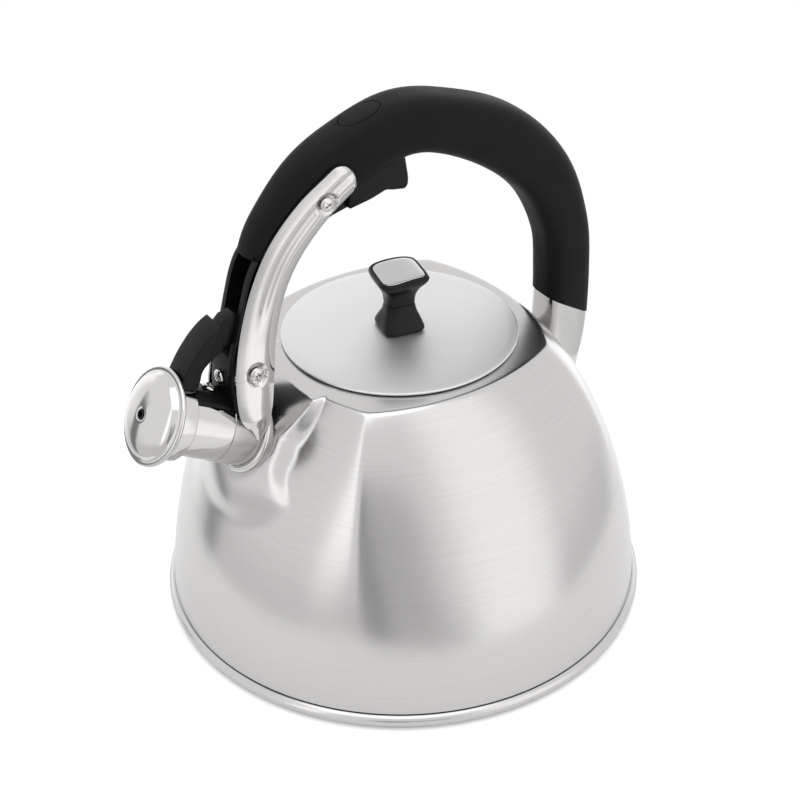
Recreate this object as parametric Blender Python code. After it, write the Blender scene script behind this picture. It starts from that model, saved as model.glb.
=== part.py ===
"""Stovetop whistling kettle as separate pieces, in metres.

The origin is the centre of the face that stands on the hob. +Z is up, the spout points to -X, and the
kettle is symmetric about the XZ plane. Sizes below are in millimetres and turn into metres in mesh_object.
"""

from math import cos, pi, radians, sin, sqrt

import bmesh
import bpy
from mathutils import Matrix, Vector

MM = 0.001
GAP = 0.3  # clearance between pieces that touch

# Body
FOOT_R = 97.6
FOOT_Z = 6.6
DECK_Z = 119.2
WALL = 0.9
MOUTH_R = 43.6
CORNER_CURVE = ((FOOT_R, 4.0), (96.5, 45.0), (84.0, 96.0), (59.8, 118.6))
SIDE_FLATNESS = 0.12  # how far the middle of a side falls inside the corners at the shoulder
FLATNESS_POWER = 1.5
BODY_SEGMENTS = 48  # a multiple of 8, so that a point falls on each corner

# Foot
BEAD_R = 97.2
BEAD_Z = 3.4
BEAD_THICK = 2.8
FLOOR_Z = 5.0
FLOOR_THICK = 1.0
SPREADER_R = 72.0
CAP_R = 75.0
CAP_THICK = 1.0

# Spout
SPOUT_TILT = radians(30.0)
SPOUT_BASE = Vector((-71.4, 0.0, 99.3))
TUBE_R = 13.0
TUBE_WALL = 0.9
TUBE_START = -13.0
TUBE_END = 37.0
STRAINER_RING_R = 7.0
COLLAR_R = 16.0
COLLAR_BEAD_R = 1.6
FLANGE_S = 41.2
FLANGE_R = 19.2
SKIRT_R = 15.6
SKIRT_WALL = 1.0
DOME_HEIGHT = 6.6
HOLE_R = 2.0

# Handle: centre line as (x, z, half depth, half width)
GRIP_STATIONS = (
    (-58.2, 171.0, 10.6, 7.2),
    (-52.8, 181.0, 11.0, 7.8),
    (-37.7, 195.5, 12.1, 9.0),
    (-20.3, 203.4, 12.0, 10.8),
    (0.0, 208.4, 11.4, 12.0),
    (20.0, 204.2, 11.7, 12.0),
    (46.0, 191.0, 13.2, 12.0),
    (66.5, 170.5, 12.2, 11.2),
    (77.6, 145.0, 10.9, 10.4),
    (80.0, 122.0, 10.8, 10.2),
    (79.8, 98.0, 10.8, 10.2),
)
GRIP_EXPONENT = 3.0
GRIP_CUT_TILT = radians(32.0)
GRIP_CUT_Z = 107.5
FRONT_POCKET_HALF = 5.9
PAD_POCKET_HALF = 7.6

# Front leg: (x, z, half depth, half width)
LEG_STATIONS = (
    (-71.9, 106.0, 3.4, 12.0),
    (-71.9, 114.0, 6.8, 11.0),
    (-71.6, 122.0, 8.1, 9.6),
    (-70.4, 132.0, 8.7, 7.7),
    (-66.4, 147.0, 8.3, 5.9),
    (-60.7, 164.0, 9.0, 5.6),
    (-56.9, 171.8, 8.2, 5.6),
    (-53.8, 177.0, 6.4, 5.6),
)
LEG_INNER_HALF = 4.7

# Steel cheeks: (x, z, half depth, plane y of the outer rim)
CHEEK_STATIONS = (
    (-72.1, 103.6, 0.9, 13.6),
    (-71.2, 109.0, 4.2, 13.3),
    (-72.0, 116.0, 7.0, 12.4),
    (-70.2, 128.5, 8.1, 10.0),
    (-66.9, 143.5, 7.8, 7.9),
    (-61.6, 160.5, 7.5, 7.5),
    (-54.2, 175.0, 7.6, 8.2),
    (-43.9, 187.0, 7.4, 9.2),
    (-33.6, 195.4, 6.9, 10.4),
    (-28.2, 199.3, 6.0, 11.0),
    (-26.2, 200.7, 3.6, 11.2),
)
CHEEK_THICK = 1.1
CHEEK_BULGE = 1.2
SCREW_SEAT_RISE = 0.3  # screw seats stand this far outside the cheek's rim
UPPER_SCREW = (-37.0, 190.6)
LOWER_SCREW = (-69.8, 130.3)

# Linkage
TRIGGER_PIVOT = (-30.0, 194.0)
CAP_PIVOT = (-69.3, 147.0)
PIN_R = 1.5
LEVER_FOOT = ((40.2, 19.4), (40.2, 13.0), (33.6, 13.0), (33.2, 18.2))  # along and across the spout
HUB_R = 4.2
LEVER_HUB_HALF = 4.3
SPRING_ROOM = 2.9  # the hub is this much narrower on the side where the spring sits
LEVER_ARM_HALF = 5.8
TRIGGER_ARM_HALF = 3.6
TRIGGER_WEB_HALF = 4.6
TRIGGER_PAD_HALF = 7.0
ROD_TOP = (-54.9, 176.0)
ROD_FOOT = (-61.9, 150.9)
ROD_DEPTH = 1.5
ROD_HALF = 3.0
SPRING_R = 2.5
SPRING_WIRE_R = 0.35
SPRING_TURNS = 2.5
RIVET_S = 35.3
RIVET_R = 1.0
RIVET_HEAD_R = 1.8
RIVET_LENGTH = 3.8
PAD_OUTLINE = (
    (-25.4, 196.4),
    (-25.4, 183.2),
    (-16.0, 184.6),
    (-9.0, 186.6),
    (-6.8, 185.8),
    (-0.8, 184.6),
    (0.6, 186.2),
    (0.8, 189.0),
    (-0.6, 198.2),
    (-2.4, 199.4),
    (-12.0, 199.6),
)

# Lid
LID_R = 46.85
LID_Z = DECK_Z + GAP
LID_THICK = 1.2
LID_RISE = 1.0
LID_SKIRT_R = 41.8
LID_SKIRT_WALL = 0.9
LID_SKIRT_DEPTH = 8.5
KNOB_BOLT_R = 2.0
KNOB_TURN = radians(-12.0)
KNOB_SEAM = 10.6  # height of the joint between the two halves of the knob
KNOB_HEIGHT = 24.2
# Knob sections as (height, half length, half width, squareness)
KNOB_BASE_ROWS = ((0.0, 7.9, 7.4, 4.0), (1.2, 8.5, 8.0, 4.0), (3.6, 7.9, 7.2, 3.6), (7.2, 6.6, 5.4, 3.0))
KNOB_TOP_ROWS = ((14.2, 6.2, 5.0, 3.0), (17.6, 7.4, 6.6, 3.2), (20.8, 9.6, 8.8, 3.8), (22.4, 10.3, 9.5, 4.2))
KNOB_NECK = (5.9, 4.5, 2.8)
INLAY_DEPTH = 1.0
INLAY_RIM = 1.3

SCREW_HEAD_R = 2.8
SHANK_R = 1.3
SCREW_BORE_R = 1.6
LEG_SCREW = (-79.7, 127.5)
FOOT_SCREW_S = 24.0
FOOT_PLATE_TOP = 14.6
FOOT_PLATE_END = 32.0
FERRULE_SCREW = (89.8, 90.0)

BLACK = ("black", (0.02, 0.02, 0.022, 1.0), 0.45, 0.0)
SATIN = ("satin_steel", (0.62, 0.61, 0.60, 1.0), 0.35, 1.0)
POLISHED = ("polished_steel", (0.75, 0.75, 0.74, 1.0), 0.12, 1.0)
ALUMINIUM = ("aluminium", (0.70, 0.70, 0.72, 1.0), 0.4, 1.0)
SILICONE = ("silicone", (0.55, 0.55, 0.53, 1.0), 0.6, 0.0)
X_AXIS = Vector((1.0, 0.0, 0.0))
Y_AXIS = Vector((0.0, 1.0, 0.0))


def clear_scene():
    """Remove every object of the open scene."""
    for obj in list(bpy.data.objects):
        bpy.data.objects.remove(obj, do_unlink=True)


def finish(name, spec):
    """One Principled material for the piece called name."""
    label, colour, roughness, metallic = spec
    material = bpy.data.materials.new(f"{name}_{label}")
    material.use_nodes = True
    shader = material.node_tree.nodes["Principled BSDF"]
    shader.inputs["Base Color"].default_value = colour
    shader.inputs["Roughness"].default_value = roughness
    shader.inputs["Metallic"].default_value = metallic
    return material


def mesh_object(name, bm, spec, origin=None):
    """Turn a bmesh in millimetres into an object in metres whose origin is at origin."""
    centre = Vector(origin) if origin else Vector((0.0, 0.0, 0.0))
    bmesh.ops.remove_doubles(bm, verts=bm.verts, dist=1e-4)
    bmesh.ops.recalc_face_normals(bm, faces=bm.faces)
    bmesh.ops.translate(bm, verts=bm.verts, vec=-centre)
    bmesh.ops.scale(bm, verts=bm.verts, vec=(MM, MM, MM))
    mesh = bpy.data.meshes.new(name)
    bm.to_mesh(mesh)
    bm.free()
    mesh.shade_smooth()
    mesh.set_sharp_from_angle(angle=radians(35.0))
    obj = bpy.data.objects.new(name, mesh)
    obj.location = centre * MM
    bpy.context.scene.collection.objects.link(obj)
    mesh.materials.append(finish(name, spec))
    return obj


def cutter(name, bm):
    """A helper that only cuts other pieces."""
    obj = mesh_object(name, bm, BLACK)
    obj.hide_render = True
    obj.display_type = "WIRE"
    return obj


def cut(obj, tool, operation="DIFFERENCE"):
    """Add an exact Boolean to obj."""
    modifier = obj.modifiers.new(operation.title(), "BOOLEAN")
    modifier.operation = operation
    modifier.solver = "EXACT"
    modifier.object = tool
    return obj


def loft(rings, closed=False):
    """Join rings of equal length with quads; cap the ends, or join them when closed."""
    bm = bmesh.new()
    rows = [[bm.verts.new(point) for point in ring] for ring in rings]
    count = len(rows[0])
    pairs = list(zip(rows, rows[1:]))
    if closed:
        pairs.append((rows[-1], rows[0]))
    for low, high in pairs:
        for i in range(count):
            j = (i + 1) % count
            bm.faces.new((low[i], low[j], high[j], high[i]))
    if not closed:
        bm.faces.new(rows[0])
        bm.faces.new(rows[-1])
    return bm


def turn(profile, segments, base=Vector((0.0, 0.0, 0.0)), axis=Vector((0.0, 0.0, 1.0))):
    """Revolve a closed outline of (radius, height) about an axis through base."""
    bm = bmesh.new()
    verts = [bm.verts.new((radius, 0.0, height)) for radius, height in profile]
    edges = [bm.edges.new((a, b)) for a, b in zip(verts, verts[1:] + verts[:1])]
    bmesh.ops.spin(
        bm,
        geom=verts + edges,
        axis=(0.0, 0.0, 1.0),
        cent=(0.0, 0.0, 0.0),
        steps=segments,
        angle=2 * pi,
        use_merge=True,
    )
    bmesh.ops.remove_doubles(bm, verts=bm.verts, dist=1e-4)
    loose = [edge for edge in bm.edges if not edge.link_faces]
    bmesh.ops.delete(bm, geom=loose, context="EDGES")
    turned = Vector((0.0, 0.0, 1.0)).rotation_difference(axis).to_matrix()
    bmesh.ops.rotate(bm, verts=bm.verts, matrix=turned)
    bmesh.ops.translate(bm, verts=bm.verts, vec=base)
    return bm


def prism(outline, low_y, high_y):
    """Extrude an outline of (x, z) points between two values of y."""
    return loft([[(x, y, z) for x, z in outline] for y in (low_y, high_y)])


def arc(cx, cz, radius, start, end, count):
    """Points on an arc in the XZ plane, angles in degrees."""
    angles = [radians(start + (end - start) * i / (count - 1)) for i in range(count)]
    return [(cx + radius * cos(a), cz + radius * sin(a)) for a in angles]


def bezier(points, t):
    """Cubic Bezier point in the plane."""
    weights = ((1 - t) ** 3, 3 * t * (1 - t) ** 2, 3 * t * t * (1 - t), t**3)
    return tuple(sum(w * p[k] for w, p in zip(weights, points)) for k in range(2))


def smooth_stations(stations, steps):
    """Catmull-Rom rows through the stations, steps rows for each gap."""
    rows = []
    last = len(stations) - 1
    for i in range(last):
        around = [stations[max(0, min(last, i + k))] for k in (-1, 0, 1, 2)]
        for step in range(steps):
            t = step / steps
            rows.append(
                tuple(
                    0.5
                    * (
                        2 * b
                        + (c - a) * t
                        + (2 * a - 5 * b + 4 * c - d) * t * t
                        + (3 * b - a - 3 * c + d) * t**3
                    )
                    for a, b, c, d in zip(*around)
                )
            )
    rows.append(tuple(stations[-1]))
    return rows


def normals_along(rows):
    """Unit normals in the XZ plane at each row of a path, on the outer side of a path that runs to +X."""
    found = []
    for i, _ in enumerate(rows):
        before, after = rows[max(0, i - 1)], rows[min(len(rows) - 1, i + 1)]
        dx, dz = after[0] - before[0], after[1] - before[1]
        length = sqrt(dx * dx + dz * dz)
        found.append((-dz / length, dx / length))
    return found


def sweep(rows, exponent, count, grow=0.0):
    """Rings of superellipses across a path; each row is (x, z, half depth, half width)."""
    rings = []
    for (x, z, depth, width), (nx, nz) in zip(rows, normals_along(rows)):
        ring = []
        for i in range(count):
            angle = 2 * pi * (i + 0.5) / count
            c, s = cos(angle), sin(angle)
            out = (depth + grow) * abs(c) ** (2 / exponent) * (1 if c > 0 else -1)
            side = (width + grow) * abs(s) ** (2 / exponent) * (1 if s > 0 else -1)
            ring.append((x + nx * out, side, z + nz * out))
        rings.append(ring)
    return rings


def spout_point(along, across=0.0):
    """Point on the spout's plane of symmetry: distance along its axis, and up across it."""
    return SPOUT_BASE + spout_axis() * along + spout_up() * across


def in_plane(point):
    """Vector for a point (x, z) on the plane of symmetry."""
    return Vector((point[0], 0.0, point[1]))


def spout_axis():
    """Direction in which the spout points."""
    return Vector((-cos(SPOUT_TILT), 0.0, sin(SPOUT_TILT)))


def spout_up():
    """Direction up across the spout, on the plane of symmetry."""
    return Vector((sin(SPOUT_TILT), 0.0, cos(SPOUT_TILT)))


# ---------------------------------------------------------------- body


def body_ring(corner, z, flatness, offset=0.0):
    """Section of four arcs: corner is the radius at the corners, flatness pulls in the sides."""
    side = corner * (1 - flatness) + offset
    corner = corner + offset
    k = corner / sqrt(2)
    if flatness < 1e-6:
        arc_r, centre = corner, 0.0
    else:
        arc_r = ((side - k) ** 2 + k * k) / (2 * (side - k))
        centre = side - arc_r
    ring = []
    for i in range(BODY_SEGMENTS):
        angle = 2 * pi * i / BODY_SEGMENTS
        local = (angle + pi / 4) % (pi / 2) - pi / 4
        reach = centre * cos(local) + sqrt(arc_r**2 - (centre * sin(local)) ** 2)
        ring.append((reach * cos(angle), reach * sin(angle), z))
    return ring


def flatness_at(z):
    """Flatness of the sides at height z, none at the foot."""
    share = max(0.0, (z - FOOT_Z) / (DECK_Z - FOOT_Z))
    return SIDE_FLATNESS * share**FLATNESS_POWER


def body_rings(offset, low_z, levels=8):
    """Rings of the outer surface from the foot to the shoulder, moved out by offset."""
    rings = []
    for i in range(levels + 1):
        corner, z = bezier(CORNER_CURVE, i / levels)
        z = max(z, low_z) if i == 0 else z
        rings.append(body_ring(corner, z, flatness_at(z), offset))
    return rings


def circle(radius, z, count=BODY_SEGMENTS):
    """Level ring of points, in step with the body's sections."""
    return [(radius * cos(2 * pi * i / count), radius * sin(2 * pi * i / count), z) for i in range(count)]


def body_block(offset):
    """Solid with the body's outer surface moved out by offset, for fitting pieces to it."""
    rings = body_rings(offset, FOOT_Z)
    flat = flatness_at(DECK_Z)
    rings.append(body_ring(58.4, DECK_Z + offset, flat, offset))
    return loft(rings)


def make_body():
    """Drawn shell, open at the foot and at the mouth."""
    flat = flatness_at(DECK_Z)
    outer = body_rings(0.0, FOOT_Z)
    outer.append(body_ring(58.4, DECK_Z, flat))
    outer.append(circle(MOUTH_R, DECK_Z))
    inner = body_rings(-WALL, FOOT_Z)
    inner.append(body_ring(58.4, DECK_Z - WALL, flat, -WALL))
    inner.append(circle(MOUTH_R, DECK_Z - WALL))
    inner.reverse()
    body = mesh_object("body_shell", loft(outer + inner, closed=True), SATIN)
    hole = turn(
        [(0.0, TUBE_START - 6.0), (TUBE_R + GAP, TUBE_START - 6.0), (TUBE_R + GAP, 12.0), (0.0, 12.0)],
        32,
        SPOUT_BASE,
        spout_axis(),
    )
    cut(body, cutter("spout_hole", hole))


def make_foot():
    """Floor with its rolled bead, the heat spreader under it and the cap that covers the spreader."""
    bead = arc(BEAD_R, BEAD_Z, BEAD_THICK, -150.0, 135.0, 8)
    pan = [(0.0, FLOOR_Z), (BEAD_R - 6.0, FLOOR_Z), *bead, (BEAD_R - 6.5, FLOOR_Z + FLOOR_THICK)]
    pan.append((0.0, FLOOR_Z + FLOOR_THICK))
    mesh_object("base_pan", turn(pan, BODY_SEGMENTS), SATIN)
    top = FLOOR_Z - GAP
    disc = [(0.0, CAP_THICK + GAP), (SPREADER_R, CAP_THICK + GAP), (SPREADER_R, top), (0.0, top)]
    mesh_object("heat_spreader", turn(disc, 36), ALUMINIUM)
    cup = [
        (0.0, 0.0),
        (CAP_R - 1.0, 0.0),
        (CAP_R, 1.0),
        (CAP_R, top),
        (CAP_R - CAP_THICK, top),
        (CAP_R - CAP_THICK, CAP_THICK),
        (0.0, CAP_THICK),
    ]
    mesh_object("spreader_cap", turn(cup, 36), SATIN)


# ---------------------------------------------------------------- spout and whistle


def spout_turn(name, profile, spec, segments=28, origin=None):
    """Piece turned about the spout's axis; heights are distances along it."""
    return mesh_object(name, turn(profile, segments, SPOUT_BASE, spout_axis()), spec, origin)


def make_spout(block):
    """Tube, the bead where it leaves the body, and the strainer in its root."""
    inner = TUBE_R - TUBE_WALL
    tube = [(inner, TUBE_START), (TUBE_R, TUBE_START), (TUBE_R, TUBE_END), (inner, TUBE_END)]
    spout_turn("spout_tube", tube, POLISHED)
    bore = TUBE_R + GAP
    lip = arc(COLLAR_R - COLLAR_BEAD_R, 0.0, COLLAR_BEAD_R, -40.0, 110.0, 6)
    bead = [(bore, -9.0), (COLLAR_R - 0.4, -9.0), *lip, (bore, 1.2)]
    collar = spout_turn("spout_collar", bead, POLISHED)
    cut(collar, block)
    radius = inner - GAP
    disc = [(0.0, -9.0), (radius, -9.0), (radius, -8.0), (0.0, -8.0)]
    strainer = spout_turn("spout_strainer", disc, SATIN)
    for i in range(6):
        angle = i * pi / 3
        centre = spout_point(0.0, STRAINER_RING_R * cos(angle)) + Y_AXIS * STRAINER_RING_R * sin(angle)
        drill = turn([(0.0, -12.0), (1.8, -12.0), (1.8, -5.0), (0.0, -5.0)], 12, centre, spout_axis())
        cut(strainer, cutter(f"strainer_drill_{i}", drill))


def make_whistle():
    """Cap on the spout: dome, skirt, inner plate, seal and the rivet that holds it on its lever."""
    pivot = in_plane(CAP_PIVOT)
    rim = FLANGE_S
    top = rim + DOME_HEIGHT
    dome = [
        (HOLE_R, top - 1.0),
        (8.0, top - 2.4),
        (14.0, rim + 2.2),
        (SKIRT_R + 0.4, rim - 0.4),
        (FLANGE_R - 0.6, rim - 0.4),
        *arc(FLANGE_R - 0.9, rim + 0.5, 0.9, -60.0, 80.0, 4),
        (16.4, rim + 1.8),
        (15.3, rim + 3.4),
        (13.0, rim + 4.85),
        (9.0, rim + 5.85),
        (HOLE_R + 0.8, top),
        (HOLE_R, top - 0.2),
    ]
    spout_turn("whistle_dome", dome, POLISHED, origin=pivot)
    end = rim - 0.4 - GAP
    start = TUBE_END - 4.0
    skirt = [(SKIRT_R - SKIRT_WALL, start), (SKIRT_R, start), (SKIRT_R, end), (SKIRT_R - SKIRT_WALL, end)]
    shell = spout_turn("whistle_skirt", skirt, POLISHED, origin=pivot)
    rivet_foot, up = spout_point(RIVET_S), spout_up()
    cut(shell, cutter("rivet_hole", turn(bar_profile(RIVET_R + GAP, 10.0, 20.0), 12, rivet_foot, up)))
    head = SKIRT_R - SKIRT_WALL - GAP
    rivet = [(0.0, head - 0.6), (RIVET_HEAD_R, head - 0.6), (RIVET_HEAD_R, head), (RIVET_R, head)]
    rivet += [(RIVET_R, head + RIVET_LENGTH), (0.0, head + RIVET_LENGTH)]
    mesh_object("cap_rivet", turn(rivet, 12, rivet_foot, up), POLISHED, pivot)
    outer = SKIRT_R - SKIRT_WALL - GAP
    seal = [(4.0, TUBE_END + GAP), (outer, TUBE_END + GAP), (outer, TUBE_END + 2.0), (4.0, TUBE_END + 2.0)]
    spout_turn("cap_seal", seal, SILICONE, origin=pivot)
    low = TUBE_END + 2.0 + GAP
    plate = [(HOLE_R, low), (outer, low), (outer, low + 0.8), (HOLE_R, low + 0.8)]
    spout_turn("whistle_plate", plate, SATIN, origin=pivot)


# ---------------------------------------------------------------- handle


def grip_rows():
    """Path of the grip with its half depth and half width."""
    return smooth_stations(GRIP_STATIONS, 2)


def tenon_rows(top):
    """Path of the ferrule's tenon inside the end of the grip."""
    return [(80.0, 97.0, 7.6, 6.9), (80.1, 108.0, 7.6, 6.9), (79.9, top, 7.6, 6.9)]


def make_grip():
    """Soft-touch handle: slanted rear end over the ferrule, pockets for the linkage, seat for the plug."""
    grip = mesh_object("grip", loft(sweep(grip_rows(), GRIP_EXPONENT, 16)), BLACK)
    reach = 40.0
    dx, dz = reach * cos(GRIP_CUT_TILT), -reach * sin(GRIP_CUT_TILT)
    x, z = GRIP_STATIONS[-1][0], GRIP_CUT_Z
    below = [(x - dx, z - dz), (x - dx, z - 80.0), (x + dx, z - 80.0), (x + dx, z + dz)]
    cut(grip, cutter("grip_end_cut", prism(below, -30.0, 30.0)))
    cut(grip, cutter("grip_socket", loft(sweep(tenon_rows(119.0 + 2 * GAP), 4.0, 16, GAP))))
    front = [(-72.0, 156.0), (-66.8, 172.8), (-59.4, 186.0), (-46.4, 198.0), (-34.0, 205.0), (-20.0, 207.0)]
    front += [(-20.0, 178.0), (-40.0, 160.0)]
    cut(grip, cutter("front_pocket", prism(front, -FRONT_POCKET_HALF, FRONT_POCKET_HALF)))
    pad = [(-27.0, 176.0), (-27.0, 201.0), (-14.0, 205.5), (-8.0, 208.6), (2.2, 208.6), (2.8, 176.0)]
    cut(grip, cutter("pad_pocket", prism(pad, -PAD_POCKET_HALF, PAD_POCKET_HALF)))
    for side in (-1, 1):
        cut(grip, cutter(f"cheek_relief_{side}", cheek_solid(side, GAP, 8.0)))
    cross_bore(grip, TRIGGER_PIVOT, PIN_R + 0.05, "trigger_pin_hole")
    cross_bore(grip, UPPER_SCREW, SHANK_R + GAP, "upper_screw_hole")
    cut(grip, cutter("plug_seat", plug_solid(GAP, 2.6)))


def cross_bore(obj, spot, radius, label):
    """Round hole right across a piece, parallel to Y."""
    cut(obj, cutter(label, turn(bar_profile(radius, -20.0, 20.0), 16, in_plane(spot), Y_AXIS)))


def bar_profile(radius, low, high):
    """Outline of a solid round bar."""
    return [(0.0, low), (radius, low), (radius, high), (0.0, high)]


def plug_solid(grow, depth):
    """Oval block through the top face of the grip near its front."""
    centre = Vector((-15.5, 0.0, 215.2))
    tilt = radians(20.0)
    along = Vector((cos(tilt), 0.0, sin(tilt)))
    up = Vector((-sin(tilt), 0.0, cos(tilt)))
    rings = []
    for level in (-depth, 8.0):
        angles = [2 * pi * i / 20 for i in range(20)]
        offsets = [along * (8.6 + grow) * cos(a) + Y_AXIS * (5.2 + grow) * sin(a) for a in angles]
        rings.append([centre + offset + up * level for offset in offsets])
    return loft(rings)


def make_grip_plug():
    """Flush oval cover: the block cut to the grip's own surface."""
    plug = mesh_object("grip_plug", plug_solid(0.0, 2.6 - GAP), BLACK)
    skin = cutter("grip_skin", loft(sweep(grip_rows(), GRIP_EXPONENT, 16)))
    cut(plug, skin, "INTERSECT")


def foot_solid():
    """Plate that lies on the spout tube in front of the leg, and carries the foot screw."""
    top = FOOT_PLATE_TOP
    section = ((6.0, 8.0), (6.0, -8.0), (top - 3.0, -8.0), (top, -4.2), (top, 4.2), (top - 3.0, 8.0))
    rings = []
    for along in (4.0, FOOT_PLATE_END):
        points = [(spout_point(along, across), y) for across, y in section]
        rings.append([(point.x, y, point.z) for point, y in points])
    return loft(rings)


def make_front_leg(block):
    """Black channel: saddle on the spout, hollow for the lever and the rod, head inside the grip."""
    leg = mesh_object("front_leg", loft(sweep(smooth_stations(LEG_STATIONS, 2), 6.0, 16)), BLACK)
    cut(leg, cutter("leg_foot", foot_solid()), "UNION")
    hollow = [(-63.0, 140.0), (-90.0, 135.0), (-90.0, 168.0), (-72.0, 192.0), (-40.0, 192.0)]
    hollow += [(-45.6, 179.0), (-48.2, 173.6), (-54.2, 161.2), (-60.6, 145.0)]
    cut(leg, cutter("leg_hollow", prism(hollow, -LEG_INNER_HALF, LEG_INNER_HALF)))
    tube_room = cutter(
        "tube_room", turn(bar_profile(TUBE_R + GAP, -20.0, 60.0), 48, SPOUT_BASE, spout_axis())
    )
    cut(leg, tube_room)
    collar_room = turn(bar_profile(COLLAR_R + GAP, -30.0, 1.6 + GAP), 32, SPOUT_BASE, spout_axis())
    collar_room = cutter("collar_room", collar_room)
    cut(leg, collar_room)
    cut(leg, block)
    cross_bore(leg, CAP_PIVOT, PIN_R + 0.05, "cap_pin_hole")
    cross_bore(leg, LOWER_SCREW, SHANK_R + GAP, "lower_screw_hole")
    face = in_plane(LEG_SCREW)
    cut(leg, cutter("leg_screw_hole", turn(bar_profile(SCREW_BORE_R, -9.0, 5.0), 12, face, -X_AXIS)))
    seat = spout_point(FOOT_SCREW_S, FOOT_PLATE_TOP + GAP)
    up = spout_up()
    cut(leg, cutter("foot_screw_hole", turn(bar_profile(SCREW_BORE_R, -6.0, 5.0), 12, seat, up)))
    screw("leg_screw", face, -X_AXIS, 6.0)
    screw("foot_screw", seat, up, 1.2)
    return tube_room, collar_room


def cheek_solid(side, grow=0.0, extra=0.0):
    """Curved plate on one side of the leg, with a bulged outer face."""
    rings = []
    rows = smooth_stations(CHEEK_STATIONS, 2)
    for (x, z, depth, plane), (nx, nz) in zip(rows, normals_along(rows)):
        depth = depth + grow
        bulge = CHEEK_BULGE * min(1.0, depth / 6.0)
        outline = [(-1.0, plane), (-0.7, plane + 0.7 * bulge), (0.0, plane + bulge)]
        outline += [(0.7, plane + 0.7 * bulge), (1.0, plane)]
        if extra:
            outline = [(-1.0, plane + extra), (1.0, plane + extra)]
        inner = plane - CHEEK_THICK - grow
        outline += [(1.0, inner), (-1.0, inner)]
        rings.append([(x + nx * depth * share, side * y, z + nz * depth * share) for share, y in outline])
    return loft(rings)


def cheek_plane(z):
    """Half width of the cheek's rim at height z."""
    return min(smooth_stations(CHEEK_STATIONS, 8), key=lambda row: abs(row[1] - z))[3]


def make_cheeks(tube_room, collar_room):
    """Steel plates on both sides of the leg, each with two screws in flat seats."""
    for side, label in ((-1, "left"), (1, "right")):
        cheek = mesh_object(f"cheek_{label}", cheek_solid(side), POLISHED)
        cut(cheek, tube_room)
        cut(cheek, collar_room)
        out = Y_AXIS * side
        for place, spot in (("upper", UPPER_SCREW), ("lower", LOWER_SCREW)):
            seat = cheek_plane(spot[1]) + SCREW_SEAT_RISE
            bore = SHANK_R + GAP
            face = SCREW_HEAD_R + 0.6
            top = seat + 9.0
            steps = [(0.0, 2.0), (bore, 2.0), (bore, seat), (face, seat), (face, top), (0.0, top)]
            drill = turn(steps, 16, in_plane(spot), out)
            cut(cheek, cutter(f"{place}_drill_{label}", drill))
            screw(f"{place}_screw_{label}", in_plane(spot) + out * (seat + GAP), out, CHEEK_THICK + 1.2)


def screw(name, seat, direction, shank):
    """Pan head screw whose head sits on seat and whose shank runs back from it."""
    profile = [(0.0, -shank), (SHANK_R, -shank), (SHANK_R, 0.0), (SCREW_HEAD_R, 0.0)]
    profile += [(SCREW_HEAD_R, 0.7), (1.9, 1.4), (0.0, 1.6)]
    mesh_object(name, turn(profile, 12, seat, direction), POLISHED)


def make_ferrule(block):
    """Steel socket between the back of the body and the grip, with its screw."""
    rows = [(72.0, 62.0, 10.4, 8.6), (76.6, 82.0, 10.0, 8.5), (79.4, 96.0, 9.8, 8.4), (80.4, 112.0, 9.8, 8.4)]
    ferrule = mesh_object("rear_ferrule", loft(sweep(smooth_stations(rows, 2), 5.0, 20)), POLISHED)
    reach = 40.0
    dx, dz = reach * cos(GRIP_CUT_TILT), -reach * sin(GRIP_CUT_TILT)
    x, z = GRIP_STATIONS[-1][0], GRIP_CUT_Z - 2 * GAP
    above = [(x - dx, z - dz), (x + dx, z + dz), (x + dx, z + 80.0), (x - dx, z + 80.0)]
    cut(ferrule, cutter("ferrule_end_cut", prism(above, -30.0, 30.0)))
    cut(ferrule, cutter("ferrule_tenon", loft(sweep(tenon_rows(119.0), 4.0, 16))), "UNION")
    cut(ferrule, block)
    spot = in_plane(FERRULE_SCREW)
    cut(ferrule, cutter("ferrule_screw_hole", turn(bar_profile(SCREW_BORE_R, -8.0, 6.0), 12, spot, X_AXIS)))
    screw("ferrule_screw", spot, X_AXIS, 6.0)


# ---------------------------------------------------------------- linkage


def round_end(centre, radius, start, end, count=5):
    """Arc used as the rounded end of a lever."""
    return arc(centre[0], centre[1], radius, start, end, count)


def lever(name, outline, half, spec, pivot):
    """Flat lever cut from an outline, with its origin on its pivot."""
    return mesh_object(name, prism(outline, -half, half), spec, in_plane(pivot))


def make_trigger():
    """Finger lever under the grip: pad at the rear, short arm that pushes the rod at the front."""
    px, pz = TRIGGER_PIVOT
    arm = [(px + 4.0, pz + 3.4), *round_end(TRIGGER_PIVOT, HUB_R, 60.0, 120.0, 4)]
    arm += [(-38.0, 195.2), (-46.0, 188.8), (-56.6, 180.6)]
    arm += [*round_end((-54.6, 178.6), 2.0, 180.0, 290.0, 5), (-44.0, 182.4), (-36.0, 188.4)]
    arm += round_end(TRIGGER_PIVOT, HUB_R, 230.0, 300.0, 4) + [(px + 6.0, pz - 4.2)]
    trigger = lever("trigger_lever", arm, TRIGGER_ARM_HALF, BLACK, TRIGGER_PIVOT)
    wide = cutter("trigger_pad", prism(PAD_OUTLINE, -TRIGGER_PAD_HALF, TRIGGER_PAD_HALF))
    bridge = [(px + 2.0, pz + 3.0), (-24.0, 196.6), (-24.0, 183.4)]
    bridge += [(-31.0, 181.8), (-37.4, 179.8), (-37.8, 187.0)]
    cut(trigger, cutter("trigger_bridge", prism(bridge, -TRIGGER_WEB_HALF, TRIGGER_WEB_HALF)), "UNION")
    cut(trigger, wide, "UNION")
    cross_bore(trigger, TRIGGER_PIVOT, PIN_R + 0.05, "trigger_bore")


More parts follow.
